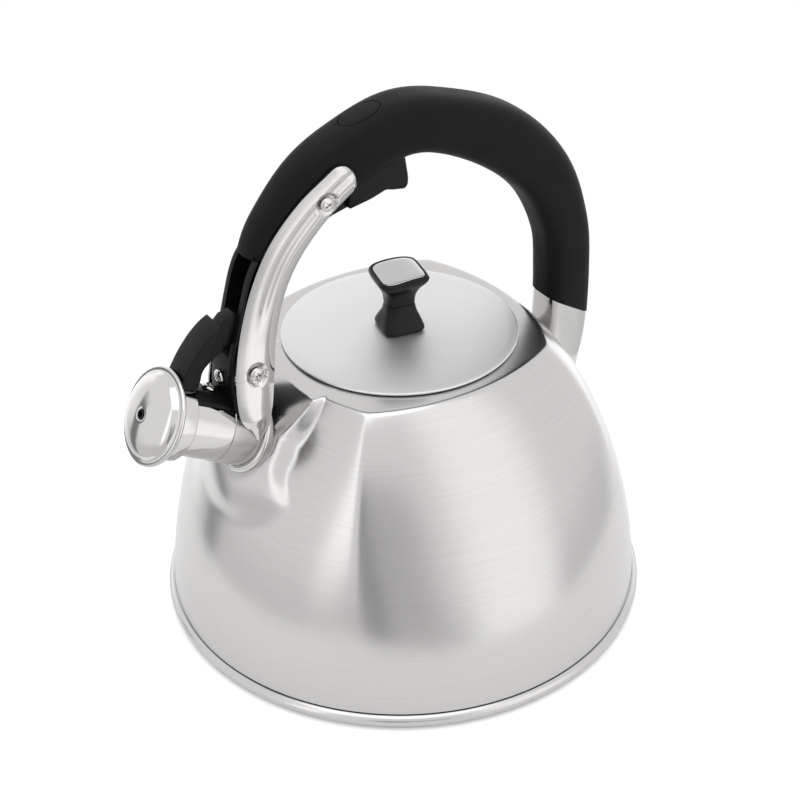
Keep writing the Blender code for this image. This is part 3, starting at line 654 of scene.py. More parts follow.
@dataclass(frozen=True)
class Spout:
    """Line of the spout and the sizes that meet it."""

    tilt: float = radians(30.0)
    base: Vector = Vector((-71.4, 0.0, 99.3))
    tube: float = 13.0
    wall: float = 0.9
    tube_start: float = -13.0
    tube_end: float = 37.0
    collar: float = 16.0
    rim: float = 41.2
    flange: float = 18.9
    skirt: float = 15.6

    @property
    def axis(self) -> Vector:
        """Direction in which the spout points."""
        return Vector((-cos(self.tilt), 0.0, sin(self.tilt)))

    @property
    def up(self) -> Vector:
        """Direction up across the spout."""
        return Vector((sin(self.tilt), 0.0, cos(self.tilt)))

    def point(self, along: float, across: float = 0.0) -> Vector:
        """Point on the plane of symmetry, by distance along and up across the spout."""
        return self.base + self.axis * along + self.up * across

    def turned(self, outline: Sequence[Plane2], segments: int = 96) -> bmesh.types.BMesh:
        """Revolve an outline about the spout's axis."""
        return lathe(outline, segments, self.base, self.axis)

    def clear(self, obj: bpy.types.Object) -> None:
        """Cut the room of the tube and of its collar out of a piece."""
        Workshop.combine(obj, self.turned(bar(self.tube + GAP, -20.0, 60.0), 96))
        Workshop.combine(obj, self.turned(bar(self.collar + GAP, -30.0, 1.6 + GAP), 96))


def in_plane(point: Sequence[float]) -> Vector:
    """Vector for a point (x, z) on the plane of symmetry."""
    return Vector((point[0], 0.0, point[1]))


# ---------------------------------------------------------------- vessel


@dataclass
class Vessel:
    """Drawn body, rolled base and the parts under it."""

    spout: Spout
    foot_r: float = 97.6
    foot_z: float = 6.6
    deck_z: float = 119.2
    wall: float = 0.9
    mouth_r: float = 43.6
    flatness: float = 0.12
    flatness_power: float = 1.5
    crease: float = 1.5
    crowding: float = 0.5
    segments: int = 448
    rows: int = 120
    inner_rows: int = 30
    boss_in: float = 17.6
    boss_out: float = 27.5
    boss_out_low: float = 10.0
    boss_end: float = -30.0
    boss_level: float = -0.4
    deck_across: float = 26.2
    facet_start: float = 16.5
    facet_drop: float = 5.2
    facet_fall: float = 15.0
    facet_soft: float = 0.12
    shoulder_r: float = 58.2
    last_row: float = 0.985
    row_crowding: float = 1.15

    def corner_curve(self, t: float) -> Plane2:
        """Radius and height of the corner line, from the foot at 0 to the shoulder at 1."""
        points = ((self.foot_r, 4.0), (96.5, 45.0), (84.0, 96.0), (59.8, 118.6))
        weights = ((1 - t) ** 3, 3 * t * (1 - t) ** 2, 3 * t * t * (1 - t), t**3)
        return tuple(sum(w * p[k] for w, p in zip(weights, points)) for k in range(2))

    def flat_at(self, z: float) -> float:
        """How far the sides are pulled in at height z."""
        share = max(0.0, (z - self.foot_z) / (self.deck_z - self.foot_z))
        return self.flatness * share**self.flatness_power

    def angle(self, i: int) -> float:
        """Angle of a section's point; the points crowd together on the spout's side."""
        turn = TAU * i / self.segments
        return turn + self.crowding * sin(turn)

    def reach(self, corner: float, flat: float, angle: float) -> float:
        """Radius of the four-arc section at an angle, with softened corners."""
        if flat < 1e-6:
            return corner
        half = corner / sqrt(2)
        side = corner * (1 - flat)
        arc_r = ((side - half) ** 2 + half * half) / (2 * (side - half))
        centre = side - arc_r
        local = (angle + pi / 4) % (pi / 2) - pi / 4
        gap = pi / 4 - abs(local)
        soft = sqrt(gap * gap + (self.crease / corner) ** 2)
        local = pi / 4 - min(soft, pi / 4)
        return centre * cos(local) + sqrt(arc_r**2 - (centre * sin(local)) ** 2)

    def ring(self, corner: float, z: float, offset: float = 0.0) -> Ring:
        """One level section of the body."""
        flat = self.flat_at(z)
        points = []
        for i in range(self.segments):
            angle = self.angle(i)
            radius = self.reach(corner, flat, angle) + offset
            points.append(self.bossed(Vector((radius * cos(angle), radius * sin(angle), z)), offset))
        return points

    def bossed(self, point: Vector, offset: float) -> Vector:
        """Move a point of the skin onto the raised seat round the spout and the facet above it.

        Args:
            point: a point of the plain skin.
            offset: how far the skin stands outside the vessel's surface.

        Returns:
            The point, moved out along the spout's axis where the seat stands proud.
        """
        if point.x > self.boss_end:
            return point
        spout = self.spout
        rel = point - spout.base
        along, above = rel.dot(spout.axis), rel.dot(spout.up)
        distance = (rel - spout.axis * along).length
        high = min(24.0, max(0.0, above - 7.0))
        low = self.boss_out_low * blend_step(2.0, 16.0, -above)
        seat = offset + self.boss_level
        weight = 1 - blend_step(self.boss_in + 0.8 * high, self.boss_out + 0.45 * high + low, distance)
        raised = along + (seat - along) * weight
        if above > 1.0:
            edge = self.deck_across * distance / above
            share = (distance - self.facet_start) / (edge - self.facet_start)
            ruled = seat - self.facet_drop * share - self.facet_fall * max(0.0, share - 1.0)
            gap = raised - ruled
            raised -= 0.5 * (gap + sqrt(gap * gap + self.facet_soft))
        return point + spout.axis * max(0.0, raised - along)

    def skin(self, offset: float, rows: int) -> list[Ring]:
        """Rings from the foot to the mouth, moved in by offset."""
        rings = []
        for i in range(rows + 1):
            corner, z = self.corner_curve(1 - (1 - self.last_row * i / rows) ** self.row_crowding)
            rings.append(self.ring(corner, max(z, self.foot_z), offset))
        edge_corner, edge_z = self.corner_curve(1 - (1 - self.last_row) ** self.row_crowding)
        for k in (0.25, 0.5, 0.75, 1.0):
            corner = edge_corner + (self.shoulder_r - edge_corner) * k
            z = edge_z + (self.deck_z - edge_z) * (1 - (1 - k) ** 2)
            rings.append(self.ring(corner, z + offset * k, offset))
        outline = rings[-1]
        turns = [self.angle(i) for i in range(self.segments)]
        rim = [Vector((self.mouth_r * cos(a), self.mouth_r * sin(a), self.deck_z + offset)) for a in turns]
        for k in (0.15, 0.35, 0.6, 0.85, 1.0):
            rings.append([point.lerp(end, k) for point, end in zip(outline, rim)])
        return rings

    def build(self) -> None:
        """Make every piece of the vessel."""
        inner = self.skin(-self.wall, self.inner_rows)
        inner.reverse()
        skin = Workshop.raw("body_skin", loft(self.skin(0.0, self.rows) + inner, closed=True), 60.0)
        hole = self.spout.turned(bar(self.spout.tube + GAP, -19.0, 14.0), 64)
        Workshop.combine(skin, hole)
        Workshop.dress(skin, SATIN_BODY, Body.KETTLE, "body_shell")
        self.build_base()

    def build_base(self) -> None:
        """Rolled bead and floor, and the cap over the heat spreader."""
        bead_r, bead_z, thick = 97.1, 3.4, 2.8
        bead = arc(bead_r, bead_z, thick, -158.0, 140.0, 26)
        pan = [(0.0, 5.0), (88.0, 5.0), (91.4, 4.8), *bead, (91.0, 6.0), (0.0, 6.0)]
        base = Workshop.raw("rolled_base", lathe(pan, 224))
        Workshop.dress(base, SATIN_BODY, Body.KETTLE, "base_pan")
        cup = [(0.0, 0.0), *fillet([(75.0, 0.0), (75.0, 4.7), (74.0, 4.7), (74.0, 1.0)], 0.9), (0.0, 1.0)]
        cap = Workshop.raw("spreader_cover", lathe(cup, 160))
        Workshop.dress(cap, SATIN_BODY, Body.KETTLE, "spreader_cap")


# ---------------------------------------------------------------- spout and whistle


@dataclass
class SpoutAndWhistle:
    """Tube with its collar, and the cap that whistles."""

    spout: Spout
    dome_height: float = 6.6
    hole_r: float = 2.0

    def build(self) -> None:
        """Make the fixed and the swinging pieces."""
        s = self.spout
        tube = self.sleeve(s.tube - s.wall, s.tube, s.tube_start, s.tube_end)
        Workshop.dress(Workshop.raw("pouring_tube", s.turned(tube)), MIRROR, Body.KETTLE, "spout_tube")
        bead = [(s.tube + GAP, -3.0), (s.collar - 1.9, -3.0)]
        bead += [*arc(s.collar - 1.6, 0.0, 1.6, -60.0, 150.0, 18), (s.tube + GAP, 0.6)]
        Workshop.dress(Workshop.raw("seam_bead", s.turned(bead)), MIRROR, Body.KETTLE, "spout_collar")
        self.build_dome()
        skirt = self.sleeve(s.skirt - 1.0, s.skirt, s.tube_end - 4.0, s.rim - 0.7)
        Workshop.dress(Workshop.raw("cap_sleeve", s.turned(skirt)), MIRROR, Body.CAP, "whistle_skirt")

    @staticmethod
    def sleeve(inner: float, outer: float, start: float, end: float) -> list[Plane2]:
        """Outline of a tube with rounded ends."""
        return fillet([(inner, start), (outer, start), (outer, end), (inner, end)], 0.4)

    def build_dome(self) -> None:
        """Domed cap with its rolled flange and steam hole."""
        rim, top, r = self.spout.rim, self.spout.rim + self.dome_height, self.hole_r
        shoulder = [(16.9, 1.5), (16.5, 1.72), (16.15, 2.15), (15.8, 2.75)]
        shoulder += [(15.3, 3.35), (14.7, 3.8), (13.9, 4.3)]
        crown = [(13.0, 4.78), (12.0, 5.17), (10.5, 5.55), (9.0, 5.85), (6.0, 6.3), (3.6, 6.55)]
        face = [(radius, rim + height) for radius, height in shoulder + crown]
        face += [(r + 0.5, top), (r + 0.1, top - 0.15), (r, top - 0.6)]
        roll = arc(self.spout.flange - 0.95, rim + 0.55, 0.95, -80.0, 86.0, 12)
        back = [(r, top - 1.1), (8.0, top - 2.4), (14.0, rim + 2.2), (self.spout.skirt + 0.4, rim - 0.4)]
        outline = [*back, *roll, (17.6, rim + 1.42), *face]
        dome = Workshop.raw("whistle_cap", self.spout.turned(outline, 128), 60.0)
        Workshop.dress(dome, MIRROR, Body.CAP, "whistle_dome")
        grommet = fillet([(1.2, top - 1.4), (2.0, top - 1.4), (2.0, top + 0.25), (1.2, top + 0.25)], 0.3)
        ring = Workshop.raw("steam_hole_bush", self.spout.turned(grommet, 40))
        Workshop.dress(ring, BLACK, Body.CAP)


# ---------------------------------------------------------------- fasteners


@dataclass
class PanScrew:
    """Pan head screw with a cross recess."""

    name: str
    seat: Vector
    direction: Vector
    shank: float
    body: Body
    node: str
    turn: float = 20.0
    head_r: float = 2.8
    head_h: float = 1.6

    def build(self) -> None:
        """Turn the head and cut its cross."""
        h, r = self.head_h, self.head_r
        dome = [(r, 0.25), (r, 0.7), (r * 0.92, 1.05), (r * 0.78, 1.32), (r * 0.55, 1.5), (r * 0.28, h)]
        outline = [(0.0, -self.shank), (1.3, -self.shank), (1.3, 0.0), (r - 0.2, 0.0), *dome, (0.0, h)]
        screw = Workshop.raw(self.name, lathe(outline, 40, self.seat, self.direction))
        turned = Z_AXIS.rotation_difference(self.direction).to_matrix()
        for quarter in (0.0, 90.0):
            spin = Matrix.Rotation(radians(self.turn + quarter), 3, "Z")
            rings = []
            for z, long, wide in ((h - 0.95, 0.7, 0.22), (h + 0.6, 1.75, 0.36)):
                corners = ((-long, -wide), (long, -wide), (long, wide), (-long, wide))
                rings.append([self.seat + turned @ (spin @ Vector((x, y, z))) for x, y in corners])
            Workshop.combine(screw, loft(rings))
        Workshop.dress(screw, BRIGHT, self.body, self.node)


# ---------------------------------------------------------------- handle


@dataclass
class Handle:
    """Grip, front leg, steel straps and the rear socket."""

    spout: Spout
    vessel: Vessel
    upper_screw: Plane2 = (-37.0, 190.6)
    lower_screw: Plane2 = (-69.8, 130.3)
    leg_screw: Plane2 = (-79.7, 127.5)
    ferrule_screw: Plane2 = (89.8, 90.0)
    cut_tilt: float = radians(32.0)
    cut_z: float = 107.5
    rear_x: float = 79.8
    strap_thick: float = 1.1
    bulge: float = 1.2
    seat_rise: float = 0.3
    lip_half: float = 7.3
    plate_top: float = 14.6
    strap_end: float = 5.0

    grip_stations = (
        (-58.2, 171.0, 10.6, 7.2), (-52.8, 181.0, 11.0, 7.8), (-37.7, 195.5, 12.1, 9.0),
        (-20.3, 203.4, 12.0, 10.8), (0.0, 208.4, 11.4, 12.0), (20.0, 204.2, 11.7, 12.0),
        (46.0, 191.0, 13.2, 12.0), (66.5, 170.5, 12.2, 11.2), (77.6, 145.0, 10.9, 10.4),
        (80.0, 122.0, 10.8, 10.2), (79.8, 98.0, 10.8, 10.2),
    )
    leg_stations = (
        (-71.9, 106.0, 3.4, 12.0), (-71.9, 114.0, 6.8, 11.0), (-71.6, 122.0, 8.1, 9.6),
        (-70.4, 132.0, 8.7, 7.7), (-66.4, 147.0, 8.3, 5.9), (-60.7, 164.0, 9.0, 5.6),
        (-56.9, 171.8, 8.2, 5.6), (-53.8, 177.0, 6.4, 5.6),
    )
    strap_stations = (
        (-72.1, 103.6, 0.9, 13.6), (-71.2, 109.0, 4.2, 13.3), (-72.0, 116.0, 7.0, 12.4),
        (-70.2, 128.5, 8.1, 10.0), (-66.9, 143.5, 7.8, 7.9), (-61.6, 160.5, 7.5, 7.5),
        (-54.2, 175.0, 7.6, 8.2), (-43.9, 187.0, 7.4, 9.2), (-33.6, 195.4, 6.9, 10.4),
        (-28.2, 199.3, 6.7, 11.0), (-26.0, 200.8, 6.6, 11.2),
    )

    def build(self) -> None:
        """Make every piece of the handle."""
        self.build_grip()
        self.build_plug()
        self.build_leg()
        for side, label in ((-1, "left"), (1, "right")):
            self.build_strap(side, label)
        self.build_ferrule()

    def grip_rings(self, grow: float = 0.0) -> list[Ring]:
        """Sections of the whole grip."""
        rows = smooth_rows(self.grip_stations, 10)
        return sweep(rows, lambda depth, width: superellipse(depth + grow, width + grow, 3.0, 72))

    def rear_block(self, z: float, above: bool) -> bmesh.types.BMesh:
        """Block on one side of the slanted plane between the grip and its socket."""
        reach = 40.0
        dx, dz = reach * cos(self.cut_tilt), -reach * sin(self.cut_tilt)
        side = 80.0 if above else -80.0
        x = self.rear_x
        outline = [(x - dx, z - dz), (x + dx, z + dz), (x + dx, z + side), (x - dx, z + side)]
        return loft([[Vector((px, y, pz)) for px, pz in outline] for y in (-30.0, 30.0)])

    def build_grip(self) -> None:
        """Soft grip with its pockets and its slanted rear end."""
        rings = self.grip_rings(-0.2)
        front = rings[0]
        centre = sum(front, ORIGIN.copy()) / len(front)
        for shrink, step in ((0.975, 0.35), (0.93, 0.55)):
            ahead = (rings[0][0] - rings[3][0]).normalized()
            rings.insert(0, [centre + (point - centre) * shrink + ahead * step for point in front])
        grip = Workshop.raw("soft_grip", loft(rings))
        Workshop.combine(grip, self.rear_block(self.cut_z, False))
        pocket = [(-72.0, 156.0), (-66.8, 172.8), (-59.4, 186.0), (-46.4, 198.0)]
        pocket += [(-34.0, 205.0), (-20.0, 207.0), (-20.0, 178.0), (-40.0, 160.0)]
        Workshop.combine(grip, slab(pocket, -5.9, 5.9, 0.5, 2))
        pad = fillet([(-27.0, 176.0), (-27.0, 201.0), (-14.0, 205.5), (2.6, 207.6), (2.8, 176.0)], 2.0)
        Workshop.combine(grip, slab(pad, -7.6, 7.6, 0.8, 3))
        for side in (-1, 1):
            Workshop.combine(grip, loft(self.strap_rings(side, GAP, 8.0)))
        Workshop.combine(grip, self.plug_block(0.35, 1.4))
        Workshop.soften(grip, 0.35, 40.0)
        Workshop.dress(grip, SOFT_TOUCH, Body.KETTLE, "grip")

    def plug_block(self, grow: float, depth: float) -> bmesh.types.BMesh:
        """Oval block through the grip's upper face."""
        centre, tilt = Vector((-15.5, 0.0, 215.2)), radians(20.0)
        along = Vector((cos(tilt), 0.0, sin(tilt)))
        up = Vector((-sin(tilt), 0.0, cos(tilt)))
        rings = []
        for level in (-depth, 8.0):
            angles = [TAU * i / 48 for i in range(48)]
            offsets = [along * (8.6 + grow) * cos(a) + Y_AXIS * (5.2 + grow) * sin(a) for a in angles]
            rings.append([centre + offset + up * level for offset in offsets])
        return loft(rings)

    def build_plug(self) -> None:
        """Oval cover, flush with the grip."""
        plug = Workshop.raw("oval_cover", self.plug_block(0.0, 1.0))
        Workshop.combine(plug, loft(self.grip_rings(-0.23)), "INTERSECT")
        Workshop.soften(plug, 0.3)
        Workshop.dress(plug, SOFT_TOUCH, Body.KETTLE, "grip_plug")

    def build_leg(self) -> None:
        """Black channel between the spout and the grip, with its foot on the tube."""
        rows = smooth_rows(self.leg_stations, 8)
        rings = sweep(rows, lambda depth, width: superellipse(depth, width, 6.0, 56))
        leg = Workshop.raw("handle_leg", loft(rings))
        Workshop.combine(leg, loft(self.foot_plate()), "UNION")
        front = [(row, normal) for row, normal in zip(rows, normals_along(rows)) if 128.0 < row[1] < 171.0]
        path = [(x + nx * (deep - 0.6), z + nz * (deep - 0.6)) for (x, z, deep, _), (nx, nz) in front]
        Workshop.combine(leg, loft(sweep(path, lambda: superellipse(0.55, self.lip_half, 8.0, 24))), "UNION")
        hollow = [(-63.0, 140.0), (-90.0, 135.0), (-90.0, 168.0), (-72.0, 192.0), (-40.0, 192.0)]
        hollow += [(-45.6, 179.0), (-48.2, 173.6), (-54.2, 161.2), (-60.6, 145.0)]
        Workshop.combine(leg, slab(fillet(hollow, 1.5), -4.7, 4.7, 0.4, 2))
        self.spout.clear(leg)
        Workshop.combine(leg, loft(self.body_block()))
        Workshop.combine(leg, lathe(bar(1.6, -9.0, 5.0), 24, in_plane(self.leg_screw), -X_AXIS))
        seat = self.spout.point(24.0, self.plate_top + GAP)
        Workshop.combine(leg, lathe(bar(1.6, -6.0, 5.0), 24, seat, self.spout.up))
        Workshop.soften(leg, 0.3, 35.0)
        Workshop.dress(leg, BLACK, Body.KETTLE, "front_leg")
        PanScrew("screw_leg", in_plane(self.leg_screw), -X_AXIS, 6.0, Body.KETTLE, "leg_screw", 12.0).build()
        PanScrew("screw_foot", seat, self.spout.up, 1.2, Body.KETTLE, "foot_screw", 35.0).build()

    def foot_plate(self) -> list[Ring]:
        """Rings of the leg's plate on the tube, with a rounded front edge."""
        top, half = self.plate_top, 8.0
        corners = [(6.0, half), (6.0, -half), (top - 3.0, -half), (top, -4.2), (top, 4.2), (top - 3.0, half)]
        rings = []
        for along, shrink in ((4.0, 0.0), (31.6, 0.0), (32.0, 0.4)):
            ring = []
            for across, y in fillet(corners, 0.8):
                spot = self.spout.point(along, across - shrink)
                ring.append(Vector((spot.x, y * (1 - shrink / half), spot.z)))
            rings.append(ring)
        return rings

    def body_block(self) -> list[Ring]:
        """Rings of the vessel's outer surface, a little outside it."""
        vessel = Vessel(self.spout, segments=96, crowding=0.0)
        rings = []
        for i in range(25):
            corner, z = vessel.corner_curve(i / 24)
            rings.append(vessel.ring(corner, z, GAP))
        return rings

    def strap_height(self, x: float, z: float, share: float, plane: float, depth: float) -> float:
        """Distance of the strap's outer face from the plane of symmetry.

        Args:
            x, z: place on the strap.
            share: position across it, from -1 on the inner edge to 1 on the outer.
            plane: distance of its rim.
            depth: half its width here.

        Returns:
            The height, with the flute and the dimpled screw seats.
        """
        crown = 1.25 * self.bulge * min(1.0, depth / 6.0)
        height = plane + crown * (1 - abs(share) ** 2.3)
        along = blend_step(143.0, 160.0, z) * (1 - blend_step(200.0, 204.0, z))
        height -= 0.8 * along * exp(-(((share - 0.05) * depth) / 1.7) ** 2)
        for spot in (self.upper_screw, self.lower_screw):
            distance = hypot(x - spot[0], z - spot[1])
            seat = self.seat_level(spot)
            height += (seat - height) * (1 - blend_step(3.7, 4.9, distance))
            height += 0.22 * exp(-(((distance - 4.3) / 0.5) ** 2))
        return height

    def seat_level(self, spot: Plane2) -> float:
        """Distance of a screw's flat seat from the plane of symmetry."""
        rows = smooth_rows(self.strap_stations, 8)
        return min(rows, key=lambda row: abs(row[1] - spot[1]))[3] + self.seat_rise

    def strap_rings(self, side: int, grow: float = 0.0, extra: float = 0.0) -> list[Ring]:
        """Sections of one strap.

        Args:
            side: -1 for the strap on the -Y side, 1 for the other.
            grow: clearance added all round.
            extra: height added outwards, for a cutter.

        Returns:
            Rings along the strap.
        """
        rings = []
        rows = smooth_rows(self.strap_stations, 20)
        tip = Vector(rows[-1][:2])
        count = 26
        for (x, z, depth, plane), (nx, nz) in zip(rows, normals_along(rows)):
            short = max(0.0, 1 - (Vector((x, z)) - tip).length / self.strap_end)
            depth = depth * sqrt(max(0.02, 1 - short**2)) + grow
            outline = []
            for share in (-1 + 2 * i / count for i in range(count + 1)):
                px, pz = x + nx * depth * share, z + nz * depth * share
                height = plane + extra if extra else self.strap_height(px, pz, share, plane, depth)
                outline.append((share, height))
            inner = self.strap_thick + grow + extra
            outline += [(share, height - inner) for share, height in reversed(outline)]
            rings.append([Vector((x + nx * depth * s, side * y, z + nz * depth * s)) for s, y in outline])
        return rings

    def build_strap(self, side: int, label: str) -> None:
        """Polished strap on one side of the leg, with its two screws."""
        strap = Workshop.raw(f"strap_{label}", loft(self.strap_rings(side)), 50.0)
        self.spout.clear(strap)
        out = Y_AXIS * side
        for place, spot in (("upper", self.upper_screw), ("lower", self.lower_screw)):
            Workshop.combine(strap, lathe(bar(1.6, 2.0, 30.0), 24, in_plane(spot), out))
            seat = in_plane(spot) + out * (self.seat_level(spot) + GAP)
            PanScrew(
                f"screw_{place}_{label}", seat, out, self.strap_thick + 1.2, Body.KETTLE,
                f"{place}_screw_{label}", 27.0 if place == "upper" else 8.0,
            ).build()
        Workshop.soften(strap, 0.25, 50.0)
        Workshop.dress(strap, MIRROR, Body.KETTLE, f"cheek_{label}")

    def build_ferrule(self) -> None:
        """Steel socket between the body's back and the grip."""
        rows = [(72.0, 62.0, 10.4, 8.6), (76.6, 82.0, 10.0, 8.5)]
        rows += [(79.4, 96.0, 9.8, 8.4), (80.4, 112.0, 9.8, 8.4)]
        rings = sweep(smooth_rows(rows, 10), lambda depth, width: superellipse(depth, width, 5.0, 64))
        ferrule = Workshop.raw("rear_socket", loft(rings))
        Workshop.combine(ferrule, self.rear_block(self.cut_z - 0.5, True))
        Workshop.combine(ferrule, loft(self.body_block()))
        spot = in_plane(self.ferrule_screw)
        Workshop.combine(ferrule, lathe(bar(1.6, -8.0, 6.0), 24, spot, X_AXIS))
        Workshop.soften(ferrule, 0.5, 35.0, 3)
        Workshop.dress(ferrule, MIRROR, Body.KETTLE, "rear_ferrule")
        PanScrew("screw_socket", spot, X_AXIS, 6.0, Body.KETTLE, "ferrule_screw", 40.0).build()


# ---------------------------------------------------------------- linkage


@dataclass
class Linkage:
    """Finger trigger, the lever that carries the cap, and its spring; the push rod stays as the frame's part.
    """

    spout: Spout
    trigger_pivot: Plane2 = (-30.0, 194.0)
    cap_pivot: Plane2 = (-69.3, 147.0)
    hub_r: float = 4.2
    hub_half: float = 4.3
    spring_room: float = 2.9
    arm_half: float = 5.8
    pin_r: float = 1.5

    def build(self) -> None:
        """Make the moving levers and the spring."""
        self.build_trigger()
        self.build_cap_lever()
        self.build_spring()

    def bored(self, obj: bpy.types.Object, spot: Plane2) -> None:
        """Bore a lever across for its pin."""
        Workshop.combine(obj, lathe(bar(self.pin_r + 0.05, -20.0, 20.0), 32, in_plane(spot), Y_AXIS))

    def build_trigger(self) -> None:
        """Finger lever with its stepped pad."""
        px, pz = self.trigger_pivot
        arm = [(px + 2.0, pz + 3.6), *arc(px, pz, self.hub_r, 70.0, 120.0, 8), (-38.0, 195.2), (-46.0, 188.8)]
        arm += [(-56.6, 180.6), *arc(-54.6, 178.6, 2.0, 180.0, 290.0, 10), (-44.0, 182.4), (-36.0, 188.4)]
        arm += [*arc(px, pz, self.hub_r, 230.0, 300.0, 8), (-24.0, 187.2), (-22.0, 196.4)]
        trigger = Workshop.raw("finger_lever", slab(arm, -3.6, 3.6, 0.5))
        web = [(px + 2.0, pz + 3.0), (-24.0, 196.6), (-24.0, 183.4)]
        web += [(-31.0, 181.8), (-37.4, 179.8), (-37.8, 187.0)]
        Workshop.combine(trigger, slab(web, -4.6, 4.6, 0.5), "UNION")
        pad = [(-25.4, 196.4, 1.2), (-25.4, 183.2, 1.2), (-16.0, 184.6), (-9.0, 186.6, 1.2)]
        pad += [(-6.8, 185.8, 1.2), (-0.8, 184.6, 1.4), (0.6, 186.2, 1.2), (0.8, 189.0)]
        pad += [(-0.6, 198.2, 1.2), (-2.4, 199.4), (-12.0, 199.6)]
        Workshop.combine(trigger, slab(fillet(pad, 2.0, 5), -7.0, 7.0, 1.0), "UNION")
        self.bored(trigger, self.trigger_pivot)
        Workshop.dress(trigger, BLACK, Body.TRIGGER, "trigger_lever")

    def build_cap_lever(self) -> None:
        """Curved arm outside the leg, narrow hub and tail inside it."""
        px, pz = self.cap_pivot
        neck = [(-81.0, 151.0), (-78.0, 153.8), (-74.0, 154.6), *arc(px, pz, self.hub_r, 80.0, 50.0, 6)]
        neck += [*arc(-62.4, 148.6, 1.58, 80.0, -80.0, 8), *arc(px, pz, self.hub_r, -50.0, -95.0, 6)]
        neck += [(-74.0, 142.8), (-81.0, 142.0)]
        lever = Workshop.raw("cap_arm", slab(neck, -self.hub_half, self.hub_half - self.spring_room, 0.4))
        outer = [(-79.9, 152.2, 1.4), (-83.8, 150.3), (-87.8, 147.2), (-91.2, 143.6), (-94.2, 139.8)]
        seat = ((40.2, 19.4, 1.0), (40.2, 11.0, 1.5), (32.8, 11.0, 1.5), (32.6, 18.4, 0.9))
        foot = [(self.spout.point(s, h).x, self.spout.point(s, h).z, r) for s, h, r in seat]
        inner = [(-89.2, 136.0), (-85.0, 139.2), (-79.9, 141.8, 1.4)]
        outline = fillet([*outer, *foot, *inner], 4.0, 5)
        Workshop.combine(lever, slab(outline, -self.arm_half, self.arm_half, 0.7), "UNION")
        Workshop.combine(lever, self.spout.turned(bar(self.spout.skirt + GAP, 20.0, 60.0), 96))
        self.bored(lever, self.cap_pivot)
        Workshop.dress(lever, BLACK, Body.CAP, "cap_lever")

    def build_spring(self) -> None:
        """Torsion spring on the cap's pin."""
        low, high = self.hub_half - self.spring_room + 0.65, 4.05
        radius, wire, turns, around = 2.5, 0.35, 2.5, 28
        centre = in_plane(self.cap_pivot)
        steps = round(turns * around)
        path = [centre + Vector((-7.0, low, radius)), centre + Vector((-2.0, low, radius))]
        for i in range(steps + 1):
            angle = pi / 2 - TAU * turns * i / steps
            y = low + (high - low) * i / steps
            path.append(centre + Vector((radius * cos(angle), y, radius * sin(angle))))
        path.append(path[-1] + Vector((-7.0, 0.0, 0.0)))
        rings = []
        round_wire = arc(0.0, 0.0, wire, 0.0, 330.0, 12)
        for i, point in enumerate(path):
            ahead = path[min(len(path) - 1, i + 1)] - path[max(0, i - 1)]
            side = ahead.cross(Y_AXIS).normalized()
            lift = side.cross(ahead).normalized()
            rings.append([point + side * a + lift * b for a, b in round_wire])
        Workshop.dress(Workshop.raw("closing_spring", loft(rings)), BRIGHT, Body.KETTLE, "cap_spring")


# ---------------------------------------------------------------- lid and knob


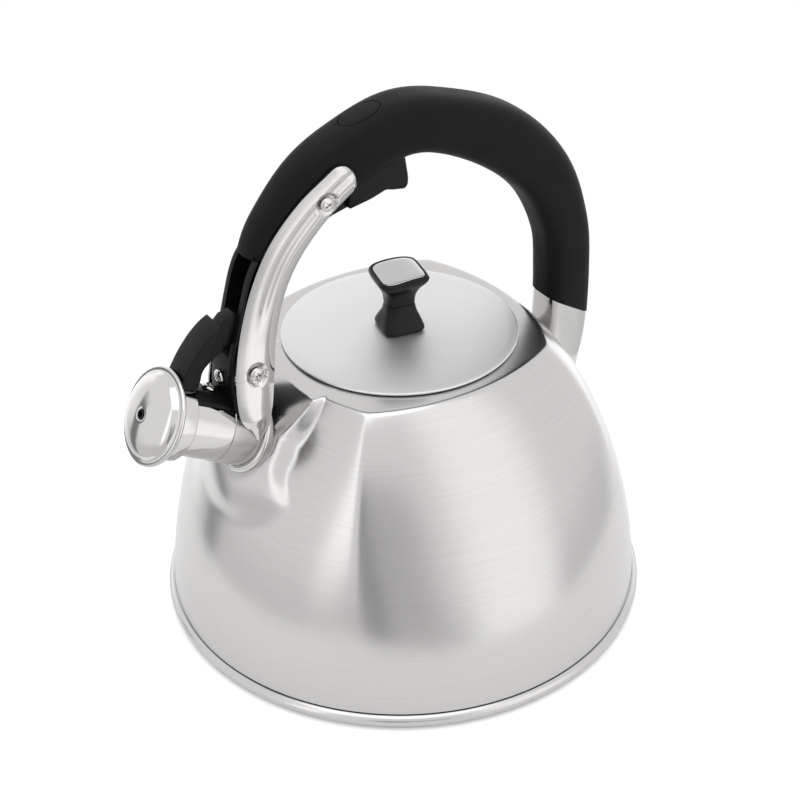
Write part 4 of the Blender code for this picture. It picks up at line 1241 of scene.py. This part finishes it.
@dataclass
class Lid:
    """Lift-off lid with its knob."""

    radius: float = 46.85
    z: float = 119.5
    thick: float = 1.2
    rise: float = 1.0
    knob_turn: float = radians(-12.0)
    height: float = 25.2

    base_rows = (
        (0.0, 7.6, 7.4, 6.0), (0.35, 8.1, 7.9, 6.0), (1.2, 8.4, 8.2, 6.0), (3.6, 7.8, 7.2, 5.0),
        (7.2, 6.5, 5.4, 3.6), (10.6, 5.9, 4.5, 3.0),
    )
    top_rows = (
        (10.9, 5.9, 4.5, 3.0), (14.4, 6.2, 5.0, 3.4), (18.0, 7.4, 6.6, 4.2), (21.6, 9.6, 8.8, 5.2),
        (23.4, 10.2, 9.5, 6.0),
    )

    def build(self) -> None:
        """Make the lid and its knob."""
        self.build_disc()
        self.build_knob()

    def build_disc(self) -> None:
        """Pressed lid with a bevelled edge."""
        low, top, r = self.z, self.z + self.thick, self.radius
        under = [(2.3, low + self.rise - 0.4), (30.0, low + 0.5), (41.8, low), (r - 0.5, low)]
        edge = arc(r - 0.5, low + 0.5, 0.5, -80.0, 70.0, 8)
        bevel = [(r - 1.0, top - 0.1), (43.6, top + 0.22), (43.1, top + 0.27), (42.4, top + 0.3)]
        shares = (0.85, 0.7, 0.55, 0.4, 0.25, 0.1)
        crown = [(r * k, top + self.rise * (0.31 + 0.69 * (1 - k * k))) for k in shares]
        outline = [*under, *edge, *bevel, *crown, (2.3, top + self.rise)]
        disc = Workshop.raw("lid_cover", lathe(outline, 192))
        Workshop.dress(disc, SATIN_LID, Body.LID, "lid_disc")

    def section(self, z: float, half_x: float, half_y: float, squareness: float) -> Ring:
        """Level superellipse ring of the knob, turned with it."""
        ring = []
        for i in range(80):
            angle = TAU * (i + 0.5) / 80
            c, s = cos(angle), sin(angle)
            reach = (abs(c) ** squareness + abs(s) ** squareness) ** (-1 / squareness)
            point = Vector((half_x * reach * c, half_y * reach * s, z))
            point.rotate(Matrix.Rotation(self.knob_turn, 3, "Z"))
            ring.append(point)
        return ring

    def saddle(self, point: Vector, base: float) -> Vector:
        """Lift a point of the knob's upper end onto its saddle-shaped top."""
        local = point.copy()
        local.rotate(Matrix.Rotation(-self.knob_turn, 3, "Z"))
        share = blend_step(base + 17.0, base + 22.0, point.z)
        u, v = local.x / 10.3, local.y / 9.5
        lift = 1.5 * (0.5 + 0.5 * v) * (1 - u * u) + 0.54 * (0.5 - 0.5 * v) * sin(pi * u) - 0.8
        return point + Z_AXIS * lift * share

    def build_knob(self) -> None:
        """Two moulded halves and the steel inlay."""
        base = self.z + self.thick + self.rise + GAP
        rows = smooth_rows(self.base_rows, 6)
        foot = Workshop.raw("knob_foot", loft([self.section(base + row[0], *row[1:]) for row in rows]), 50.0)
        Workshop.soften(foot, 0.25, 50.0)
        Workshop.dress(foot, KNOB_BLACK, Body.LID, "knob_base")
        rows = smooth_rows(self.top_rows, 8)
        rings = [self.section(base + row[0], *row[1:]) for row in rows]
        top = base + self.height - 0.4
        lip = [(-0.9, 10.25, 9.45), (-0.4, 10.05, 9.25), (-0.1, 9.75, 8.95), (0.0, 9.5, 8.7), (0.0, 9.2, 8.4)]
        lip += [(-0.25, 9.05, 8.25), (-1.1, 9.0, 8.2)]
        rings += [self.section(top + z, half_x, half_y, 6.0) for z, half_x, half_y in lip]
        rings += [self.section(top - 1.1, 9.0 * k, 8.2 * k, 6.0) for k in (0.8, 0.6, 0.4, 0.2, 0.03)]
        rings = [[self.saddle(point, base) for point in ring] for ring in rings]
        head = Workshop.raw("knob_head", loft(rings), 50.0)
        Workshop.dress(head, KNOB_BLACK, Body.LID, "knob_top")
        edge = ((-1.0, 0.0), (-0.35, 0.0), (-0.12, 0.12))
        plate = [self.section(top + z, 8.85 - inset, 8.05 - inset, 6.0) for z, inset in edge]
        plate += [self.section(top - 0.02, 8.55 * k, 7.75 * k, 6.0) for k in (1.0, 0.8, 0.6, 0.4, 0.2, 0.03)]
        plate = [[self.saddle(point, base) for point in ring] for ring in plate]
        inlay = Workshop.raw("knob_plate", loft(plate), 50.0)
        Workshop.dress(inlay, SATIN_INLAY, Body.LID, "knob_inlay")


# ---------------------------------------------------------------- carried-over parts


class HiddenParts:
    """Inner parts whose frame solids stay, with a finish of their own."""

    finishes = {
        "heat_spreader": ALUMINIUM, "spout_strainer": SATIN_BODY, "whistle_plate": SATIN_BODY,
        "cap_seal": SILICONE, "lid_gasket": SILICONE, "lid_skirt": SATIN_LID, "cap_pin": BRIGHT,
        "trigger_pin": BRIGHT, "cap_rivet": BRIGHT, "push_rod": BLACK, "knob_bolt": BRIGHT,
        "knob_washer": BRIGHT,
    }

    def dress(self) -> None:
        """Put the finishes into the frame nodes' material slots."""
        for name, finish in self.finishes.items():
            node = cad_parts[name]
            node.data.materials.clear()
            node.data.materials.append(finish.material())
            LOG.info("%s stays, in %s", name, finish.name)


# ---------------------------------------------------------------- studio


@dataclass(frozen=True)
class Panel:
    """Upright patch of the surroundings; angles in degrees."""

    azimuth: float
    half: float
    soft: float
    low: float
    high: float
    fade: float
    level: float


@dataclass(frozen=True)
class Studio:
    """Pale floor, soft light and the camera."""

    azimuth: float = radians(-32.97)
    elevation: float = radians(33.88)
    roll: float = radians(-0.89)
    distance: float = 0.71548
    aim_height: float = 0.08642
    aim_side: float = -0.00026
    lens: float = 79.67
    floor_r: float = 0.2
    floor_lift: float = 0.18
    sky: float = 1.1
    ground: float = 0.84
    panels: tuple[Panel, ...] = (
        Panel(57.0, 45.0, 20.0, -20.0, 16.0, 12.0, 1.5),
        Panel(-68.0, 8.0, 20.0, -20.0, 62.0, 16.0, 1.5),
        Panel(-166.0, 2.0, 7.0, 0.0, 60.0, 20.0, 1.8),
        Panel(-116.0, 2.0, 18.0, -30.0, 12.0, 20.0, 0.7),
        Panel(-130.0, 2.0, 6.0, -60.0, 14.0, 14.0, 0.42),
        Panel(128.0, 2.0, 5.0, -30.0, 4.0, 10.0, 0.3),
    )

    def build(self) -> None:
        """Set up the stage."""
        self.build_camera()
        self.build_floor()
        self.build_sky()
        self.build_lights()

    def build_camera(self) -> None:
        """Camera from its azimuth, elevation, roll and distance."""
        a, e = self.azimuth, self.elevation
        back = Vector((sin(a) * cos(e), -cos(a) * cos(e), sin(e)))
        level = Vector((cos(a), sin(a), 0.0))
        aim = Vector((0.0, 0.0, self.aim_height)) + level * self.aim_side
        upright = back.cross(level)
        right = level * cos(self.roll) + upright * sin(self.roll)
        up = upright * cos(self.roll) - level * sin(self.roll)
        data = bpy.data.cameras.new("camera")
        data.lens = self.lens
        data.sensor_width = 36.0
        data.clip_start = 0.05
        data.clip_end = 20.0
        camera = bpy.data.objects.new("camera", data)
        facing = Matrix((right, up, back)).transposed().to_4x4()
        camera.matrix_world = Matrix.Translation(aim + back * self.distance) @ facing
        bpy.context.scene.collection.objects.link(camera)
        bpy.context.scene.camera = camera

    def build_floor(self) -> None:
        """Round pale floor just under the kettle."""
        bm = bmesh.new()
        bmesh.ops.create_circle(bm, cap_ends=True, segments=128, radius=self.floor_r)
        mesh = bpy.data.meshes.new("floor")
        bm.to_mesh(mesh)
        bm.free()
        floor = bpy.data.objects.new("floor", mesh)
        floor.location.z = -0.0002
        bpy.context.scene.collection.objects.link(floor)
        material = bpy.data.materials.new("pale_floor")
        material.use_nodes = True
        shader = material.node_tree.nodes["Principled BSDF"]
        shader.inputs["Base Color"].default_value = (0.92, 0.92, 0.92, 1.0)
        shader.inputs["Roughness"].default_value = 0.8
        shader.inputs["Specular IOR Level"].default_value = 0.1
        shader.inputs["Emission Color"].default_value = (1.0, 1.0, 1.0, 1.0)
        desk = Desk(material.node_tree)
        seen = desk.add("ShaderNodeLightPath").outputs["Is Camera Ray"]
        desk.join(desk.math("MULTIPLY", seen, self.floor_lift), shader.inputs["Emission Strength"])
        mesh.materials.append(material)

    def panel(self, desk: Desk, place: bpy.types.NodeSocket, panel: Panel) -> bpy.types.NodeSocket:
        """Mask of one upright panel of the surroundings.

        Args:
            desk: the world's desk.
            place: direction socket.
            panel: where the panel stands.

        Returns:
            A socket that is 1 on the panel and 0 off it.
        """
        split = desk.add("ShaderNodeSeparateXYZ")
        desk.join(place, split.inputs[0])
        x, y, z = split.outputs
        flat = desk.math("MAXIMUM", desk.math("SUBTRACT", 1.0, desk.math("MULTIPLY", z, z)), 0.0001)
        turn = radians(panel.azimuth)
        ahead = desk.math("ADD", desk.math("MULTIPLY", x, cos(turn)), desk.math("MULTIPLY", y, sin(turn)))
        across = desk.math("DIVIDE", ahead, desk.math("SQRT", flat))
        mask = self.ramp(desk, across, cos(radians(panel.half + panel.soft)), cos(radians(panel.half)))
        above = self.ramp(desk, z, sin(radians(panel.low - panel.fade)), sin(radians(panel.low)))
        below = self.ramp(desk, z, sin(radians(panel.high + panel.fade)), sin(radians(panel.high)))
        return desk.math("MULTIPLY", mask, desk.math("MULTIPLY", above, below))

    @staticmethod
    def ramp(desk: Desk, value: bpy.types.NodeSocket, low: float, high: float) -> bpy.types.NodeSocket:
        """Smooth step of a socket from 0 at low to 1 at high."""
        node = desk.add("ShaderNodeMapRange", interpolation_type="SMOOTHSTEP")
        node.inputs["From Min"].default_value = low
        node.inputs["From Max"].default_value = high
        desk.join(value, node.inputs["Value"])
        return node.outputs[0]

    def build_sky(self) -> None:
        """Even pale surroundings with bright and dim panels; the camera sees them plain."""
        world = bpy.data.worlds.new("studio")
        world.use_nodes = True
        bpy.context.scene.world = world
        desk = Desk(world.node_tree)
        back = world.node_tree.nodes["Background"]
        place = desk.add("ShaderNodeTexCoord").outputs["Generated"]
        height = desk.add("ShaderNodeSeparateXYZ")
        desk.join(place, height.inputs[0])
        above = self.ramp(desk, height.outputs[2], -0.32, -0.08)
        level = desk.math("ADD", desk.math("MULTIPLY", above, self.sky - self.ground), self.ground)
        for panel in self.panels:
            mask = self.panel(desk, place, panel)
            target = desk.math("MULTIPLY", mask, panel.level)
            rest = desk.math("MULTIPLY", desk.math("SUBTRACT", 1.0, mask), level)
            level = desk.math("ADD", target, rest)
        seen = desk.add("ShaderNodeLightPath").outputs["Is Camera Ray"]
        plain = desk.math("MULTIPLY", seen, desk.math("SUBTRACT", 1.0, level))
        desk.join(desk.math("ADD", level, plain), back.inputs["Strength"])
        back.inputs["Color"].default_value = (1.0, 1.0, 1.0, 1.0)

    def build_lights(self) -> None:
        """One large soft panel overhead."""
        data = bpy.data.lights.new("overhead", "AREA")
        data.shape = "DISK"
        data.size = 1.6
        data.energy = 6.0
        lamp = bpy.data.objects.new("overhead", data)
        lamp.location = (-0.25, -0.2, 1.7)
        lamp.rotation_euler = (Vector((0.0, 0.0, 0.08)) - lamp.location).to_track_quat("-Z", "Y").to_euler()
        bpy.context.scene.collection.objects.link(lamp)


def main() -> None:
    """Build the kettle in its studio."""
    logging.basicConfig(level=logging.INFO, format="%(name)s: %(message)s")
    bpy.context.scene.view_settings.view_transform = "Standard"
    Studio().build()
    spout = Spout()
    vessel = Vessel(spout)
    vessel.build()
    SpoutAndWhistle(spout).build()
    Handle(spout, vessel).build()
    Linkage(spout).build()
    Lid().build()
    HiddenParts().dress()


if __name__ == "__main__":
    main()
